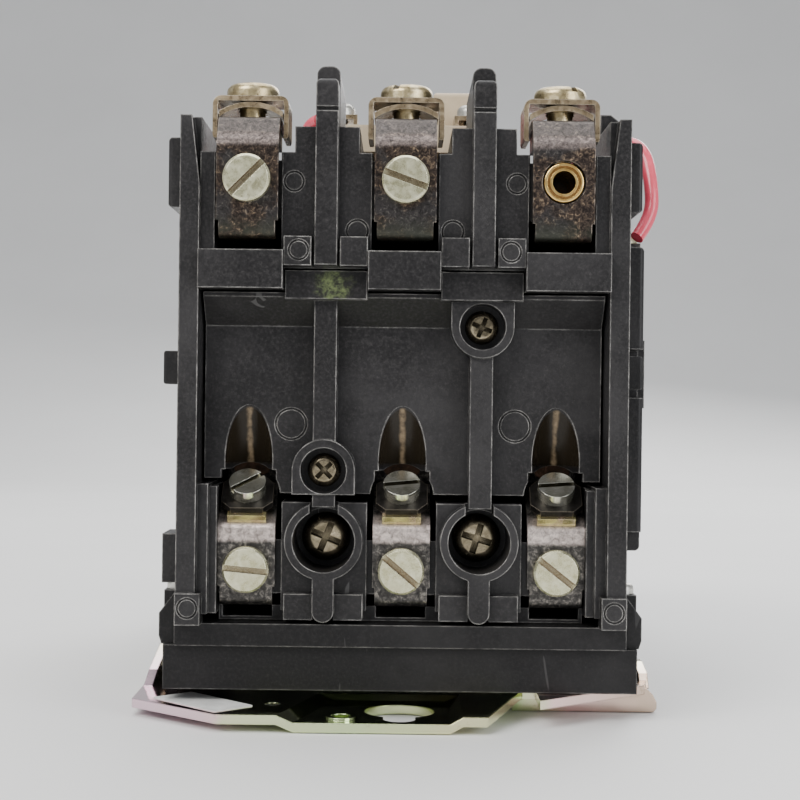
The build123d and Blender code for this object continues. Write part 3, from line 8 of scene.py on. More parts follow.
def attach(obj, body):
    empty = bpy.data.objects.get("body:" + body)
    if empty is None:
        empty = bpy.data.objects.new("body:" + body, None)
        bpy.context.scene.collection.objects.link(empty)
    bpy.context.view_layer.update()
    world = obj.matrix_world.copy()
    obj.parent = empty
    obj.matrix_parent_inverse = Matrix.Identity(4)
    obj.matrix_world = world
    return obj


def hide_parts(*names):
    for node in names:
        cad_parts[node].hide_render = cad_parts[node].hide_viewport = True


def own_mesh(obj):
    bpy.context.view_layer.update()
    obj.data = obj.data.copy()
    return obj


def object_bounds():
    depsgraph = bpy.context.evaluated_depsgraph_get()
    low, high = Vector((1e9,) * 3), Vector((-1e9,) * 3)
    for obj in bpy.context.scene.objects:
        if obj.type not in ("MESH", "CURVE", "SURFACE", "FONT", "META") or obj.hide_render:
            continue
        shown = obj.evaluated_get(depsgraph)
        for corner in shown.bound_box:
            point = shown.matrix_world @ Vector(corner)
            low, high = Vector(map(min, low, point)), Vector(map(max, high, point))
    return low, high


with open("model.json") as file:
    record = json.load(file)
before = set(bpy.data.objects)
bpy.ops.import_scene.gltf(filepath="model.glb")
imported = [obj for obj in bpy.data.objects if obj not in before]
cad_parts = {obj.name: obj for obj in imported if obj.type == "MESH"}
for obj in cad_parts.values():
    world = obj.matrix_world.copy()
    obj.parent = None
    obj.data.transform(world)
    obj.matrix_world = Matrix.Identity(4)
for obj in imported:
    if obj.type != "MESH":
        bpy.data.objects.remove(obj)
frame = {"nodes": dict(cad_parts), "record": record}   # frame["nodes"], ["record"]
cad_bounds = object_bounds()

MM = 0.001
POLE_PITCH = 28.6 * MM
POLES_MM = (-28.6, 0.0, 28.6)

# Places on the part, in metres. A band is given as (starts, full, fading, ends) and a fade as (none, full).
RESIDUE_AT = (-0.0130, -0.0790, 0.0800)
COVER_FACE_FADE_Y = (-0.07192, -0.0716)
POCKET_BAND_Z = (0.0462, 0.0475, 0.0575, 0.0605)
POCKET_FADE_X = (0.0052, 0.0046)
LINE_BEND_HIGHLIGHT_Z = (0.1044, 0.1052, 0.1066, 0.1076)
LINE_TAB_FADE_Z = (0.1068, 0.1076)
LINE_LOWER_FADE_Z = (0.0930, 0.0890)
LOAD_BEND_HIGHLIGHT_Z = (0.0323, 0.0332, 0.0370, 0.0382)
LOAD_FRONT_FADE_Y = (-0.0700, -0.0725)
PLATE_REAR_FADE_Y = (-0.060, -0.045)

# Control wires, in millimetres: the route points of the CAD's wires.
WIRE_RADIUS = 1.45 * MM
COIL_WIRE = ((15.4, -25.8, 119.4), (16.9, -28.8, 118.6), (17.2, -29.2, 112.0), (20.5, -29.2, 106.6),
             (30.0, -28.4, 105.9), (38.0, -29.6, 109.6), (44.4, -32.6, 114.0), (49.4, -36.6, 112.0),
             (50.6, -39.6, 104.0), (50.5, -41.0, 97.0), (47.2, -43.2, 92.7))
TRIP_WIRE = ((-19.0, -20.2, 119.4), (-21.4, -18.2, 118.9), (-22.6, -10.0, 114.5), (-28.0, 0.0, 106.6),
             (-36.4, 16.0, 104.2), (-36.2, 34.5, 103.4), (-35.2, 46.0, 90.0), (-34.8, 56.0, 77.0),
             (-34.5, 67.9, 71.9))

# Springs, in millimetres.
RETURN_SPRING_X, RETURN_SPRING_Z, RETURN_SPRING_Y = 21.5, 61.6, (-46.4, -35.1)
CONTACT_SPRING_Z, CONTACT_SPRING_Y = 59.5, (-67.98, -64.52)
RESET_SPRING_AT, RESET_SPRING_Z = (22.0, 73.0), (50.05, 61.95)
CARRIER_TRAVEL, BRIDGE_FOLLOW, RESET_TRAVEL = 5.5, 1.55, 4.0


# ---------------------------------------------------------------- node helpers
class Graph:
    """A material's node tree with short calls for the nodes that the finishes share."""

    def __init__(self, name):
        self.material = bpy.data.materials.new(name)
        self.material.use_nodes = True
        self.tree = self.material.node_tree
        self.tree.nodes.clear()
        self.shader = self.node("ShaderNodeBsdfPrincipled")
        output = self.node("ShaderNodeOutputMaterial")
        self.tree.links.new(self.shader.outputs[0], output.inputs[0])
        self.place = self.node("ShaderNodeTexCoord").outputs["Object"]

    def node(self, kind, **settings):
        made = self.tree.nodes.new(kind)
        for key, value in settings.items():
            setattr(made, key, value)
        return made

    def feed(self, socket, value):
        if isinstance(value, bpy.types.NodeSocket):
            self.tree.links.new(value, socket)
        elif isinstance(value, (tuple, list)) and len(value) == 3 and socket.type == "RGBA":
            socket.default_value = (*value, 1.0)
        else:
            socket.default_value = value

    def axes(self):
        """The object coordinates one by one, as the outputs "X", "Y" and "Z"."""
        made = self.node("ShaderNodeSeparateXYZ")
        self.feed(made.inputs[0], self.place)
        return made.outputs

    def stretch(self, scale):
        """Object coordinates scaled per axis, so that a texture runs along one of them."""
        made = self.node("ShaderNodeMapping")
        self.feed(made.inputs["Vector"], self.place)
        made.inputs["Scale"].default_value = scale
        return made.outputs[0]

    def noise(self, per_metre, detail=4.0, rough=0.55, vector=None, distortion=0.0):
        made = self.node("ShaderNodeTexNoise")
        self.feed(made.inputs["Vector"], vector or self.place)
        made.inputs["Scale"].default_value = per_metre
        made.inputs["Detail"].default_value = detail
        made.inputs["Roughness"].default_value = rough
        made.inputs["Distortion"].default_value = distortion
        return made.outputs["Fac"]

    def ramp(self, value, *stops):
        """Maps a value through colour stops of (place, colour or grey level)."""
        made = self.node("ShaderNodeValToRGB")
        elements = made.color_ramp.elements
        while len(elements) < len(stops):
            elements.new(0.5)
        for element, (place, colour) in zip(elements, stops):
            element.position = place
            element.color = (colour,) * 3 + (1.0,) if isinstance(colour, float) else (*colour, 1.0)
        self.feed(made.inputs[0], value)
        return made.outputs[0]

    def step(self, value, low, high):
        made = self.node("ShaderNodeMapRange", interpolation_type="SMOOTHSTEP")
        self.feed(made.inputs["Value"], value)
        made.inputs["From Min"].default_value = low
        made.inputs["From Max"].default_value = high
        return made.outputs[0]

    def math(self, operation, first, second=0.0):
        made = self.node("ShaderNodeMath", operation=operation)
        self.feed(made.inputs[0], first)
        self.feed(made.inputs[1], second)
        return made.outputs[0]

    def product(self, first, *others):
        for other in others:
            first = self.math("MULTIPLY", first, other)
        return first

    def band(self, value, starts, full, fading, ends):
        """1 between full and fading, 0 outside starts and ends."""
        return self.product(self.step(value, starts, full), self.step(value, ends, fading))

    def mix(self, share, first, second):
        made = self.node("ShaderNodeMix", data_type="RGBA")
        self.feed(made.inputs[0], share)
        self.feed(made.inputs[6], first)
        self.feed(made.inputs[7], second)
        return made.outputs[2]

    def edges(self, radius, low=0.015, high=0.12):
        """How close a point is to a sharp edge, from the way a rounded edge would turn the surface."""
        rounded = self.node("ShaderNodeBevel", samples=4)
        rounded.inputs["Radius"].default_value = radius
        flat = self.node("ShaderNodeNewGeometry").outputs["Normal"]
        turned = self.node("ShaderNodeVectorMath", operation="DOT_PRODUCT")
        self.feed(turned.inputs[0], rounded.outputs[0])
        self.feed(turned.inputs[1], flat)
        return self.step(self.math("SUBTRACT", 1.0, turned.outputs["Value"]), low, high)

    def openness(self, distance):
        """1 on open faces and outer edges, less in corners and slots."""
        made = self.node("ShaderNodeAmbientOcclusion", samples=4, only_local=True)
        made.inputs["Distance"].default_value = distance
        return made.outputs["AO"]

    def height(self, *layers, round_edges=0.0):
        """Sets the bump from (value, depth in metres) layers, over rounded edges if asked."""
        normal = None
        if round_edges:
            rounded = self.node("ShaderNodeBevel", samples=4)
            rounded.inputs["Radius"].default_value = round_edges
            normal = rounded.outputs[0]
        for value, depth in layers:
            made = self.node("ShaderNodeBump")
            made.inputs["Strength"].default_value = 1.0
            made.inputs["Distance"].default_value = depth
            self.feed(made.inputs["Height"], value)
            if normal is not None:
                self.feed(made.inputs["Normal"], normal)
            normal = made.outputs[0]
        self.feed(self.shader.inputs["Normal"], normal)

    def finish(self, colour, roughness, metallic=0.0, coat=0.0, specular=0.5):
        self.feed(self.shader.inputs["Base Color"], colour)
        self.feed(self.shader.inputs["Roughness"], roughness)
        self.feed(self.shader.inputs["Metallic"], metallic)
        self.feed(self.shader.inputs["Coat Weight"], coat)
        self.feed(self.shader.inputs["Specular IOR Level"], specular)
        return self.material


# ---------------------------------------------------------------- finishes
def phenolic(name="black_phenolic", level=1.0, wear=1.0, extra=None):
    """Black moulded phenolic, mottled and dusty, with pale rubbed edges, faint mould flow and painted shade
    in corners and slots.
    """
    g = Graph(name)
    flow = g.noise(60, 5, 0.6, g.stretch((1.6, 1.6, 0.5)), 0.6)
    haze = g.noise(30, 5, 0.65)
    mottle = g.noise(1700, 6, 0.72)
    grain = g.noise(2600, 2, 0.5)
    base = g.ramp(mottle, (0.34, (0.0070 * level, 0.0066 * level, 0.0070 * level)),
                  (0.52, (0.0135 * level, 0.0128 * level, 0.0132 * level)),
                  (0.68, (0.030 * level, 0.028 * level, 0.028 * level)))
    base = g.mix(g.product(g.step(haze, 0.42, 0.66), 0.50), base,
                 (0.044 * level, 0.042 * level, 0.043 * level))
    speckle = g.step(g.noise(1300, 4, 0.75), 0.61, 0.70)
    base = g.mix(g.product(speckle, 0.12 * wear), base, (0.12, 0.115, 0.11))
    open_side = g.openness(0.0022)
    rubbed = g.product(g.edges(0.00042), g.step(open_side, 0.62, 0.88))
    broken = g.ramp(g.noise(330, 7, 0.8), (0.38, 0.10), (0.50, 0.50), (0.60, 1.0))
    rubbed = g.product(rubbed, g.product(broken, wear))
    base = g.mix(rubbed, base, (0.44, 0.425, 0.40))
    nick = g.step(g.noise(230, 2, 0.5, g.stretch((1.0, 1.0, 0.10)), 1.5), 0.735, 0.745)
    base = g.mix(g.product(nick, 0.30 * wear), base, (0.20, 0.195, 0.19))
    # Painted shade: near black where the AO finds corners and slots closed in.
    base = g.mix(g.product(g.step(open_side, 0.72, 0.25), 0.7), base, (0.002, 0.002, 0.002))
    roughness = g.ramp(mottle, (0.34, 0.30), (0.66, 0.52))
    if extra:
        base, roughness = extra(g, base, roughness)
    g.height((flow, 0.00012), (mottle, 0.00003), (grain, 0.00002), round_edges=0.00022)
    return g.finish(base, roughness, specular=0.24)


def residue(g, base, roughness):
    """A smear of yellow-green residue under the left barrier post."""
    gap = g.node("ShaderNodeVectorMath", operation="DISTANCE")
    g.feed(gap.inputs[0], g.place)
    gap.inputs[1].default_value = RESIDUE_AT
    patch = g.math("ADD", gap.outputs["Value"], g.product(g.noise(420, 5, 0.7), 0.006))
    patch = g.step(patch, 0.0072, 0.0042)
    spread = g.ramp(g.noise(900, 5, 0.75), (0.42, 0.05), (0.60, 0.75))
    return g.mix(g.product(patch, spread), base, (0.15, 0.19, 0.075)), roughness


def brown_pockets_with_painted_streak(g, base, roughness):
    """The driver pockets above the load terminals: glossy brown, each with one painted highlight streak."""
    place = g.axes()
    shifted = g.math("ADD", place["X"], 1.5 * POLE_PITCH)
    aside = g.math("ABSOLUTE", g.math("SUBTRACT", g.math("MODULO", shifted, POLE_PITCH), POLE_PITCH / 2))
    inside = g.step(place["Y"], *COVER_FACE_FADE_Y)
    pocket = g.product(inside, g.band(place["Z"], *POCKET_BAND_Z), g.step(aside, *POCKET_FADE_X))
    base = g.mix(g.product(pocket, 0.9), base, (0.016, 0.012, 0.007))
    # Painted highlight: one bright streak down the middle of each pocket, broken up by noise.
    wander = g.product(g.math("SUBTRACT", g.noise(300, 3), 0.5), 0.0012)
    painted_highlight_streak = g.step(g.math("ABSOLUTE", g.math("ADD", aside, wander)), 0.00075, 0.00005)
    broken = g.ramp(g.noise(700, 4, 0.7), (0.35, 0.3), (0.6, 1.0))
    base = g.mix(g.product(painted_highlight_streak, pocket, broken, 0.62), base, (0.38, 0.28, 0.17))
    roughness = g.mix(pocket, roughness, (0.22, 0.22, 0.22))
    return residue(g, base, roughness)


def metal(name, tones, scale=900, spots=None, roughness=(0.28, 0.5), metallic=0.9, dirt_and_shade=(0.05, 0.04, 0.03),
          dirt_and_shade_share=0.75, bump=0.00003, edge=None, brushed=None):
    """A worked metal: mottled tones, optional corrosion spots, dirt and painted shade in corners and brighter
    edges.
    """
    g = Graph(name)
    vector = g.stretch(brushed) if brushed else None
    patches = g.noise(scale, 6, 0.65, vector, 0.4)
    colour = g.ramp(patches, *tones)
    broad = g.noise(scale * 0.14, 3, 0.6)
    colour = g.mix(g.product(g.step(broad, 0.4, 0.7), 0.35), colour, tones[0][1])
    if spots:
        spot_scale, amount, spot_colour = spots
        pits = g.step(g.noise(spot_scale, 4, 0.75), 1.0 - amount, 1.08 - amount)
        colour = g.mix(pits, colour, spot_colour)
    if edge:
        colour = g.mix(g.product(g.edges(0.00025), 0.7), colour, edge)
    # Dirt and painted shade: darker in corners and slots, where the AO finds them closed in.
    shut = g.step(g.openness(0.0016), 0.86, 0.45)
    colour = g.mix(g.product(shut, dirt_and_shade_share), colour, dirt_and_shade)
    rough = g.ramp(patches, (0.3, roughness[0]), (0.7, roughness[1]))
    g.height((patches, bump), (g.noise(4000, 2), bump * 0.25), round_edges=0.00012)
    return g.finish(colour, rough, metallic)


def aged_copper():
    """Plated copper gone brown and black, with gold flecks, a painted highlight along the bend and painted
    shade in corners.
    """
    g = Graph("aged_copper")
    fleck = g.noise(1250, 8, 0.74, None, 0.8)
    cloud = g.noise(150, 5, 0.6)
    colour = g.ramp(fleck, (0.34, (0.008, 0.006, 0.005)), (0.48, (0.030, 0.022, 0.019)),
                    (0.58, (0.10, 0.072, 0.052)), (0.70, (0.52, 0.38, 0.24)))
    grey = g.ramp(fleck, (0.34, (0.014, 0.013, 0.013)), (0.55, (0.045, 0.041, 0.040)),
                  (0.72, (0.20, 0.18, 0.16)))
    colour = g.mix(g.step(cloud, 0.47, 0.62), colour, grey)
    height = g.math("ADD", g.axes()["Z"], g.product(g.math("SUBTRACT", cloud, 0.5), 0.0012))
    upper = g.ramp(fleck, (0.30, (0.040, 0.036, 0.034)), (0.70, (0.17, 0.15, 0.14)))
    colour = g.mix(g.product(g.step(height, *LINE_TAB_FADE_Z), 0.8), colour, upper)
    # Painted highlight: a brighter band along the bend.
    bend = g.band(height, *LINE_BEND_HIGHLIGHT_Z)
    bend_highlight = g.ramp(fleck, (0.34, (0.045, 0.036, 0.034)), (0.60, (0.30, 0.25, 0.23)),
                   (0.70, (0.60, 0.50, 0.46)))
    colour = g.mix(g.product(bend, 0.7), colour, bend_highlight)
    low = g.product(g.step(height, *LINE_LOWER_FADE_Z), g.step(cloud, 0.38, 0.54))
    colour = g.mix(g.product(low, 0.6), colour, (0.038, 0.042, 0.030))
    rim = g.product(g.edges(0.0003), g.step(g.noise(700, 3), 0.45, 0.6))
    colour = g.mix(g.product(rim, 0.6), colour, (0.58, 0.50, 0.42))
    # Painted shade: darker in corners and slots, where the AO finds them closed in.
    shut = g.step(g.openness(0.0016), 0.85, 0.40)
    colour = g.mix(g.product(shut, 0.7), colour, (0.02, 0.016, 0.012))
    rough = g.ramp(fleck, (0.3, 0.50), (0.7, 0.28))
    g.height((fleck, 0.00007), (cloud, 0.00004), round_edges=0.0002)
    return g.finish(colour, rough, 0.82)


def tinned_copper():
    """Dull tin plate, dark grey with stains, with a painted pinkish highlight along the bend on its front."""
    g = Graph("tinned_copper")
    fleck = g.noise(1000, 7, 0.7, None, 0.5)
    cloud = g.noise(240, 4, 0.6)
    colour = g.ramp(fleck, (0.34, (0.020, 0.019, 0.018)), (0.52, (0.075, 0.070, 0.066)),
                    (0.70, (0.34, 0.31, 0.27)))
    colour = g.mix(g.product(g.step(cloud, 0.50, 0.66), 0.5), colour, (0.032, 0.030, 0.028))
    place = g.axes()
    height = g.math("ADD", place["Z"], g.product(g.math("SUBTRACT", cloud, 0.5), 0.001))
    # Painted highlight: a bright pinkish band along the bend, on the front faces only.
    front = g.step(place["Y"], *LOAD_FRONT_FADE_Y)
    bend_highlight = g.ramp(fleck, (0.34, (0.26, 0.22, 0.20)), (0.62, (0.86, 0.74, 0.68)))
    colour = g.mix(g.product(g.band(height, *LOAD_BEND_HIGHLIGHT_Z), front, 0.8), colour, bend_highlight)
    rim = g.product(g.edges(0.0003), g.step(g.noise(800, 3), 0.45, 0.6))
    colour = g.mix(g.product(rim, 0.5), colour, (0.60, 0.55, 0.50))
    rough = g.ramp(fleck, (0.3, 0.46), (0.7, 0.28))
    g.height((fleck, 0.00005), round_edges=0.0002)
    return g.finish(colour, rough, 0.85)


def zinc_plate():
    """Zinc plate with a yellow passivation: mirror-like, drifting between green, straw and pink."""
    g = Graph("zinc_plate")
    place = g.axes()
    drift = g.product(g.math("SUBTRACT", g.noise(70, 4, 0.6), 0.5), 0.018)
    across = g.math("ADD", place["X"], drift)
    share = g.math("ADD", g.product(across, 10.0), 0.5)
    colour = g.ramp(share, (0.05, (0.78, 0.58, 0.66)), (0.17, (0.82, 0.60, 0.62)), (0.21, (0.74, 0.78, 0.50)),
                    (0.42, (0.68, 0.80, 0.46)), (0.62, (0.78, 0.74, 0.46)), (0.72, (0.62, 0.78, 0.42)),
                    (0.80, (0.86, 0.62, 0.60)), (0.95, (0.62, 0.48, 0.38)))
    behind = g.ramp(g.noise(19, 3, 0.5, None, 0.8), (0.35, (0.80, 0.62, 0.58)), (0.5, (0.78, 0.76, 0.56)),
                    (0.65, (0.70, 0.78, 0.52)))
    colour = g.mix(g.step(place["Y"], *PLATE_REAR_FADE_Y), colour, behind)
    cloud = g.noise(140, 5, 0.65)
    stain = g.product(g.step(g.noise(160, 6, 0.75), 0.60, 0.68), 0.5)
    colour = g.mix(stain, colour, (0.24, 0.17, 0.10))
    scratch = g.noise(520, 3, 0.6, g.stretch((0.12, 1.6, 1.0)))
    # Painted shade: darker in corners and under other parts, where the AO finds them closed in.
    shut = g.step(g.openness(0.003), 0.75, 0.30)
    colour = g.mix(g.product(shut, 0.5), colour, (0.10, 0.08, 0.05))
    rough = g.ramp(cloud, (0.3, 0.07), (0.75, 0.17))
    g.height((scratch, 0.000010), (g.noise(60, 2), 0.00006), round_edges=0.0003)
    return g.finish(colour, rough, 1.0)


def plastic(name, colour, shade, roughness=0.42, speck=0.3, wear=None):
    """A light or coloured moulding with faint mottling, dust and softened edges."""
    g = Graph(name)
    cloud = g.noise(120, 4, 0.6)
    tone = g.ramp(cloud, (0.32, shade), (0.70, colour))
    dust = g.step(g.noise(1700, 3, 0.7), 0.62, 0.74)
    tone = g.mix(g.product(dust, speck), tone, tuple(0.55 * c for c in colour))
    # Painted shade: darker in corners and slots, where the AO finds them closed in.
    shut = g.step(g.openness(0.002), 0.8, 0.3)
    tone = g.mix(g.product(shut, 0.55), tone, tuple(0.25 * c for c in shade))
    if wear:
        tone = g.mix(g.product(g.edges(0.0003), 0.5), tone, wear)
    g.height((cloud, 0.00005), (g.noise(2400, 2), 0.000012), round_edges=0.0003)
    return g.finish(tone, roughness)


def wire_insulation():
    """Pink-red insulation with a wet gloss and slight scuffs."""
    g = Graph("pink_wire")
    cloud = g.noise(160, 4, 0.6)
    colour = g.ramp(cloud, (0.3, (0.62, 0.050, 0.085)), (0.7, (0.78, 0.105, 0.155)))
    scuff = g.step(g.noise(900, 5, 0.7), 0.60, 0.72)
    colour = g.mix(g.product(scuff, 0.3), colour, (0.85, 0.36, 0.38))
    g.height((g.noise(700, 3), 0.00003))
    return g.finish(colour, g.ramp(cloud, (0.3, 0.16), (0.7, 0.30)), 0.0, coat=0.35)


def laminations():
    """Stacked electrical steel: fine lines across the stack with rust blooms."""
    g = Graph("laminated_steel")
    wave = g.node("ShaderNodeTexWave", wave_type="BANDS", bands_direction="Z", wave_profile="SAW")
    g.feed(wave.inputs["Vector"], g.place)
    wave.inputs["Scale"].default_value = 600.0
    wave.inputs["Distortion"].default_value = 0.2
    line = wave.outputs["Fac"]
    colour = g.ramp(line, (0.05, (0.08, 0.075, 0.07)), (0.25, (0.32, 0.31, 0.30)), (0.9, (0.42, 0.41, 0.39)))
    rust = g.step(g.noise(210, 6, 0.7), 0.55, 0.68)
    colour = g.mix(g.product(rust, 0.6), colour, (0.20, 0.10, 0.05))
    g.height((line, 0.00008), (g.noise(1500, 3), 0.00002), round_edges=0.0002)
    return g.finish(colour, 0.45, 0.85)


def winding_finish():
    """Enamelled wire under varnish."""
    g = Graph("winding")
    turns = g.node("ShaderNodeTexWave", wave_type="BANDS", bands_direction="Y", wave_profile="SIN")
    g.feed(turns.inputs["Vector"], g.place)
    turns.inputs["Scale"].default_value = 420.0
    turns.inputs["Distortion"].default_value = 0.6
    line = turns.outputs["Fac"]
    colour = g.ramp(line, (0.1, (0.16, 0.06, 0.02)), (0.6, (0.46, 0.21, 0.08)), (0.95, (0.62, 0.34, 0.16)))
    colour = g.mix(g.product(g.step(g.noise(180, 4), 0.5, 0.7), 0.5), colour, (0.20, 0.09, 0.03))
    g.height((line, 0.0002))
    return g.finish(colour, 0.32, 0.35, coat=0.4)


def paper():
    """Blank white label stock, slightly soiled."""
    g = Graph("label")
    cloud = g.noise(300, 5, 0.6)
    colour = g.ramp(cloud, (0.3, (0.62, 0.62, 0.60)), (0.7, (0.80, 0.80, 0.78)))
    fibres = g.noise(5200, 3, 0.6)
    soil = g.product(g.step(g.noise(900, 5, 0.7), 0.60, 0.72), 0.35)
    colour = g.mix(soil, colour, (0.36, 0.34, 0.30))
    g.height((fibres, 0.000015), (cloud, 0.00004))
    return g.finish(colour, 0.55)


def make_finishes():
    return {
        "phenolic": phenolic(),
        "carrier_plastic": phenolic("carrier_black", 0.7, 0.3),
        "zinc_plate": zinc_plate(),
        "label": paper(),
        "aged_copper": aged_copper(),
        "tinned_copper": tinned_copper(),
        "bright_copper": metal("bright_copper", ((0.3, (0.015, 0.010, 0.007)), (0.55, (0.06, 0.034, 0.022)),
                                                 (0.75, (0.24, 0.13, 0.085))), 500),
        "brass": metal("brass", ((0.3, (0.66, 0.40, 0.11)), (0.7, (0.92, 0.68, 0.28))), 450,
                       roughness=(0.14, 0.28), metallic=1.0, dirt_and_shade=(0.26, 0.08, 0.015), dirt_and_shade_share=0.85),
        "zinc_screw": metal("zinc_screw", ((0.28, (0.40, 0.38, 0.22)), (0.50, (0.62, 0.60, 0.40)),
                                           (0.72, (0.82, 0.80, 0.60))), 600, (1300, 0.37, (0.27, 0.25, 0.14)),
                            (0.20, 0.38), 0.85, (0.12, 0.065, 0.03), 0.9, 0.00003, (0.88, 0.86, 0.66)),
        "bright_screw": metal("bright_screw", ((0.3, (0.50, 0.49, 0.38)), (0.5, (0.72, 0.71, 0.60)),
                                               (0.7, (0.90, 0.89, 0.82))), 420, None,
                              (0.12, 0.24), 0.95, (0.07, 0.06, 0.03), 0.9, 0.00002, (0.95, 0.94, 0.85)),
        "steel_screw": metal("steel_screw", ((0.3, (0.42, 0.41, 0.36)), (0.7, (0.74, 0.73, 0.68))), 600),
        "dark_screw": metal("dark_screw", ((0.3, (0.11, 0.095, 0.06)), (0.5, (0.25, 0.21, 0.14)),
                                           (0.7, (0.56, 0.48, 0.33))), 500,
                            (1500, 0.38, (0.03, 0.026, 0.018)),
                            (0.14, 0.28), 0.95, (0.010, 0.008, 0.004), 0.95),
        "tan_steel": metal("tan_steel", ((0.28, (0.17, 0.125, 0.07)), (0.5, (0.34, 0.26, 0.16)),
                                         (0.75, (0.58, 0.47, 0.31))), 650, (1500, 0.37, (0.12, 0.09, 0.055)),
                           (0.22, 0.40), 0.85, (0.035, 0.026, 0.016), 0.7, 0.00002, (0.72, 0.64, 0.50)),
        "gold_steel": metal("gold_steel", ((0.3, (0.62, 0.48, 0.30)), (0.5, (0.80, 0.74, 0.36)),
                                           (0.7, (0.86, 0.64, 0.54))), 260, None, (0.16, 0.30), 0.95),
        "dark_steel": metal("dark_steel", ((0.3, (0.012, 0.011, 0.010)), (0.7, (0.045, 0.040, 0.036))), 600,
                            (1200, 0.34, (0.22, 0.18, 0.12)), (0.30, 0.46), 0.8, edge=(0.26, 0.22, 0.17)),
        "silver": metal("silver", ((0.3, (0.60, 0.59, 0.57)), (0.7, (0.84, 0.83, 0.81))), 500,
                        (900, 0.42, (0.12, 0.11, 0.10))),
        "spring_steel": metal("spring_steel", ((0.3, (0.40, 0.40, 0.40)), (0.7, (0.66, 0.66, 0.66))), 700,
                              roughness=(0.2, 0.32)),
        "laminated_steel": laminations(),
        "rubber": plastic("rubber", (0.045, 0.045, 0.045), (0.02, 0.02, 0.02), 0.7),
        "cream_plastic": plastic("cream_plastic", (0.62, 0.52, 0.37), (0.50, 0.40, 0.27), 0.45, 0.25,
                                 (0.76, 0.69, 0.56)),
        "winding": winding_finish(),
        "heater_alloy": metal("heater_alloy", ((0.3, (0.36, 0.29, 0.22)), (0.7, (0.64, 0.55, 0.44))), 600,
                              brushed=(1.0, 6.0, 1.0)),
        "reset_plastic": plastic("reset_red", (0.50, 0.035, 0.03), (0.34, 0.02, 0.018), 0.3, 0.2,
                                 (0.72, 0.22, 0.18)),
        "lever_plastic": plastic("lever_pale", (0.74, 0.70, 0.56), (0.60, 0.56, 0.44), 0.35),
        "pink_wire": wire_insulation(),
    }


def dress_nodes(finishes):
    """Each node gets its slot's finish, but for the few that have one of their own."""
    special = {
        "arc_cover": phenolic("arc_cover_phenolic", extra=brown_pockets_with_painted_streak),
        "contact_block": phenolic("contact_block_phenolic", extra=residue),
        "clamp_screws": metal("golden_heads", ((0.3, (0.28, 0.215, 0.11)), (0.5, (0.50, 0.41, 0.23)),
                                               (0.7, (0.80, 0.70, 0.46))), 620,
                              (1300, 0.38, (0.15, 0.11, 0.06)),
                              (0.24, 0.40), 0.9, (0.05, 0.035, 0.02), 0.8),
        "base_housing": phenolic("base_phenolic", 0.55, 0.5),
    }
    for part in frame["record"]["subparts"]:
        node = frame["nodes"][part["node"]]
        node.data.materials.clear()
        node.data.materials.append(special.get(part["node"]) or finishes[part["material_slot"]])


# ---------------------------------------------------------------- shapes the CAD simplifies
def control_wire(name, route, finish):
    """An insulated wire: a smooth curve that follows the CAD's route points and ends on the outer two."""
    curve = bpy.data.curves.new(name, "CURVE")
    curve.dimensions = "3D"
    curve.bevel_depth = WIRE_RADIUS
    curve.bevel_resolution = 6
    curve.use_fill_caps = True
    curve.resolution_u = 16
    line = curve.splines.new("NURBS")
    line.points.add(len(route) - 1)
    for point, place in zip(line.points, route):
        point.co = (*(MM * value for value in place), 1.0)
    line.order_u = 3
    line.use_endpoint_u = True
    curve.materials.append(finish)
    wire = bpy.data.objects.new(name + "_insulation", curve)
    bpy.context.scene.collection.objects.link(wire)
    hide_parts(name)
    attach(wire, "frame")


def helix(name, start, end, radius, wire_radius, turns, finish):
    """A coil spring from start to end: closed end turns, a round wire, radius to its outside."""
    start, end = Vector(start) * MM, Vector(end) * MM
    axis = (end - start).normalized()
    length = (end - start).length
    side = axis.orthogonal().normalized()
    up = axis.cross(side)
    ring, per_turn = 10, 28
    middle = radius - wire_radius
    closed = 0.8
    count = int(turns * per_turn) + 1
    vertices, faces = [], []
    for i in range(count):
        turn = i / per_turn
        rising = min(max((turn - closed) / (turns - 2 * closed), 0.0), 1.0)
        along = wire_radius + rising * (length - 2 * wire_radius)
        angle = 2 * math.pi * turn
        outward = side * math.cos(angle) + up * math.sin(angle)
        centre = start + axis * along + outward * middle
        for k in range(ring):
            around = 2 * math.pi * k / ring
            vertices.append(centre + (outward * math.cos(around) + axis * math.sin(around)) * wire_radius)
        if i:
            for k in range(ring):
                low, next_low = (i - 1) * ring + k, (i - 1) * ring + (k + 1) % ring
                faces.append((low, next_low, next_low + ring, low + ring))
    faces.append(tuple(range(ring))[::-1])
    faces.append(tuple(range((count - 1) * ring, count * ring)))
    mesh = bpy.data.meshes.new(name)
    mesh.from_pydata(vertices, [], faces)
    mesh.materials.append(finish)
    for face in mesh.polygons[:-2]:
        face.use_smooth = True
    spring = bpy.data.objects.new(name, mesh)
    bpy.context.scene.collection.objects.link(spring)
    return spring


def spring(name, node, body, joint, axis, ends, anchor, outside, wire, turns, travel, finish):
    """A helical spring in place of the CAD's tube."""
    coil = helix(name, *ends, outside * MM, wire * MM, turns, finish)
    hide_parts(node)
    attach(coil, body)
    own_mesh(coil)


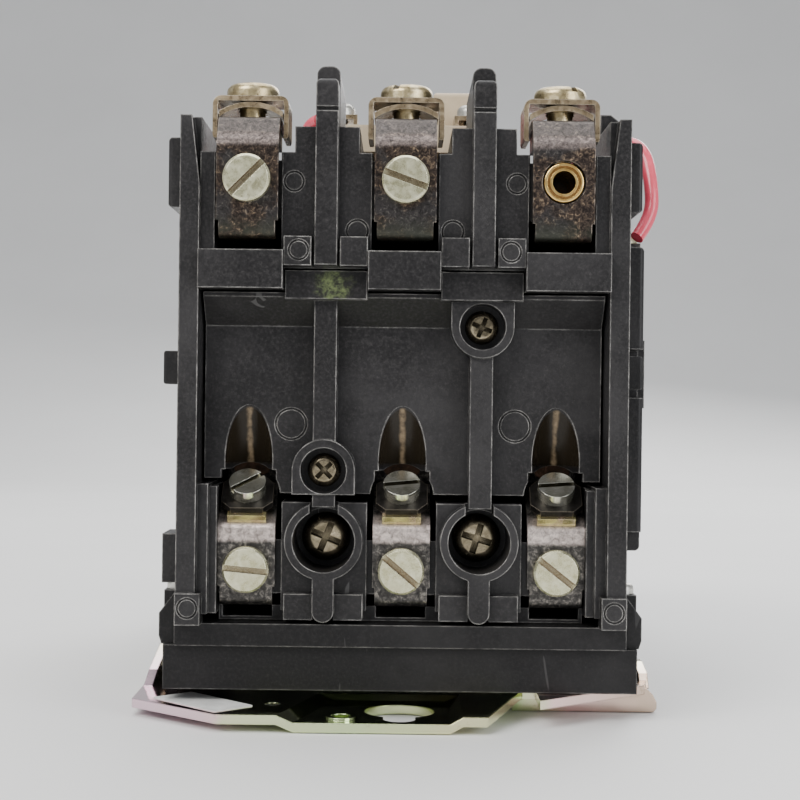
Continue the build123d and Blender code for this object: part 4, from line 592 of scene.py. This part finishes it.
def springs(finish):
    for side, name in ((-1, "left"), (1, "right")):
        ends = [(side * RETURN_SPRING_X, y, RETURN_SPRING_Z) for y in RETURN_SPRING_Y]
        spring(f"return_spring_{name}", "return_springs", "frame", "carrier_travel", (0, 1, 0), ends, ends[1],
               3.0, 0.42, 7.0, CARRIER_TRAVEL, finish)
    for number, pole in enumerate(POLES_MM, 1):
        ends = [(pole, y, CONTACT_SPRING_Z) for y in CONTACT_SPRING_Y]
        spring(f"contact_spring_{number}", "contact_springs", "carrier", "carrier_travel", (0, 1, 0), ends,
               ends[0], 2.8, 0.28, 4.5, BRIDGE_FOLLOW, finish)
    ends = [(*RESET_SPRING_AT, z) for z in RESET_SPRING_Z]
    spring("reset_spring_coil", "reset_spring", "frame", "reset_press", (0, 0, 1), ends, ends[0],
           3.5, 0.4, 7.0, RESET_TRAVEL, finish)


# ---------------------------------------------------------------- studio
FOCAL_LENGTH_MM, SENSOR_MM = 76.5, 36.0
CAMERA_STAND_OFF = 0.301
CAMERA_HEIGHT = 0.0591
CAMERA_SIDE = -0.00055
ROLL = math.radians(0.7)


def camera():
    data = bpy.data.cameras.new("camera")
    data.lens = FOCAL_LENGTH_MM
    data.sensor_width = SENSOR_MM
    eye = bpy.data.objects.new("camera", data)
    bpy.context.scene.collection.objects.link(eye)
    spot = Matrix.Translation((CAMERA_SIDE, cad_bounds[0][1] - CAMERA_STAND_OFF, CAMERA_HEIGHT))
    eye.matrix_world = spot @ Matrix.Rotation(math.radians(90), 4, "X") @ Matrix.Rotation(ROLL, 4, "Z")
    bpy.context.scene.camera = eye


def soft_light(name, place, target, size, power, tint=(1.0, 1.0, 1.0)):
    data = bpy.data.lights.new(name, "AREA")
    data.shape = "RECTANGLE"
    data.size, data.size_y = size
    data.energy = power
    data.color = tint
    lamp = bpy.data.objects.new(name, data)
    bpy.context.scene.collection.objects.link(lamp)
    lamp.location = place
    lamp.rotation_euler = (Vector(target) - Vector(place)).to_track_quat("-Z", "Y").to_euler()


def studio():
    world = bpy.data.worlds.new("studio")
    world.use_nodes = True
    sky = world.node_tree.nodes["Background"]
    sky.inputs[0].default_value = (0.93, 0.95, 1.0, 1.0)
    sky.inputs[1].default_value = 0.5
    bpy.context.scene.world = world
    middle = (0.0, 0.0, 0.06)
    soft_light("key", (-0.55, -0.75, 0.75), middle, (0.7, 0.5), 11.0, (1.0, 0.98, 0.95))
    soft_light("fill", (0.75, -0.70, 0.35), middle, (0.6, 0.6), 6.0, (0.95, 0.97, 1.0))
    soft_light("top", (0.0, 0.15, 0.95), middle, (0.9, 0.9), 9.0)
    soft_light("back", (0.3, 0.9, 0.55), middle, (0.8, 0.5), 7.0)
    floor_material = Graph("pale_floor")
    cloud = floor_material.noise(6, 3)
    tone = floor_material.ramp(cloud, (0.3, (0.76, 0.76, 0.75)), (0.7, (0.80, 0.80, 0.79)))
    floor_material.finish(tone, 0.7)
    sweep_of_paper(floor_material.material)


def sweep_of_paper(finish):
    """A floor that curves up into a backdrop well behind the part."""
    level, half_width, run_out = -0.0002, 6.0, -6.0
    bend_starts, bend_radius, height, steps = 0.75, 1.2, 4.0, 24
    profile = [(run_out, level)]
    for i in range(steps + 1):
        angle = math.pi / 2 * i / steps
        run, rise = math.sin(angle), 1 - math.cos(angle)
        profile.append((bend_starts + bend_radius * run, level + bend_radius * rise))
    profile.append((bend_starts + bend_radius, height))
    vertices = [(x, y, z) for y, z in profile for x in (-half_width, half_width)]
    faces = [(2 * i, 2 * i + 1, 2 * i + 3, 2 * i + 2) for i in range(len(profile) - 1)]
    mesh = bpy.data.meshes.new("floor")
    mesh.from_pydata(vertices, [], faces)
    mesh.materials.append(finish)
    for face in mesh.polygons:
        face.use_smooth = True
    floor = bpy.data.objects.new("floor", mesh)
    bpy.context.scene.collection.objects.link(floor)
    return floor


# ---------------------------------------------------------------- build
finishes = make_finishes()
dress_nodes(finishes)
control_wire("coil_wire", COIL_WIRE, finishes["pink_wire"])
control_wire("trip_wire", TRIP_WIRE, finishes["pink_wire"])
springs(finishes["spring_steel"])
camera()
studio()
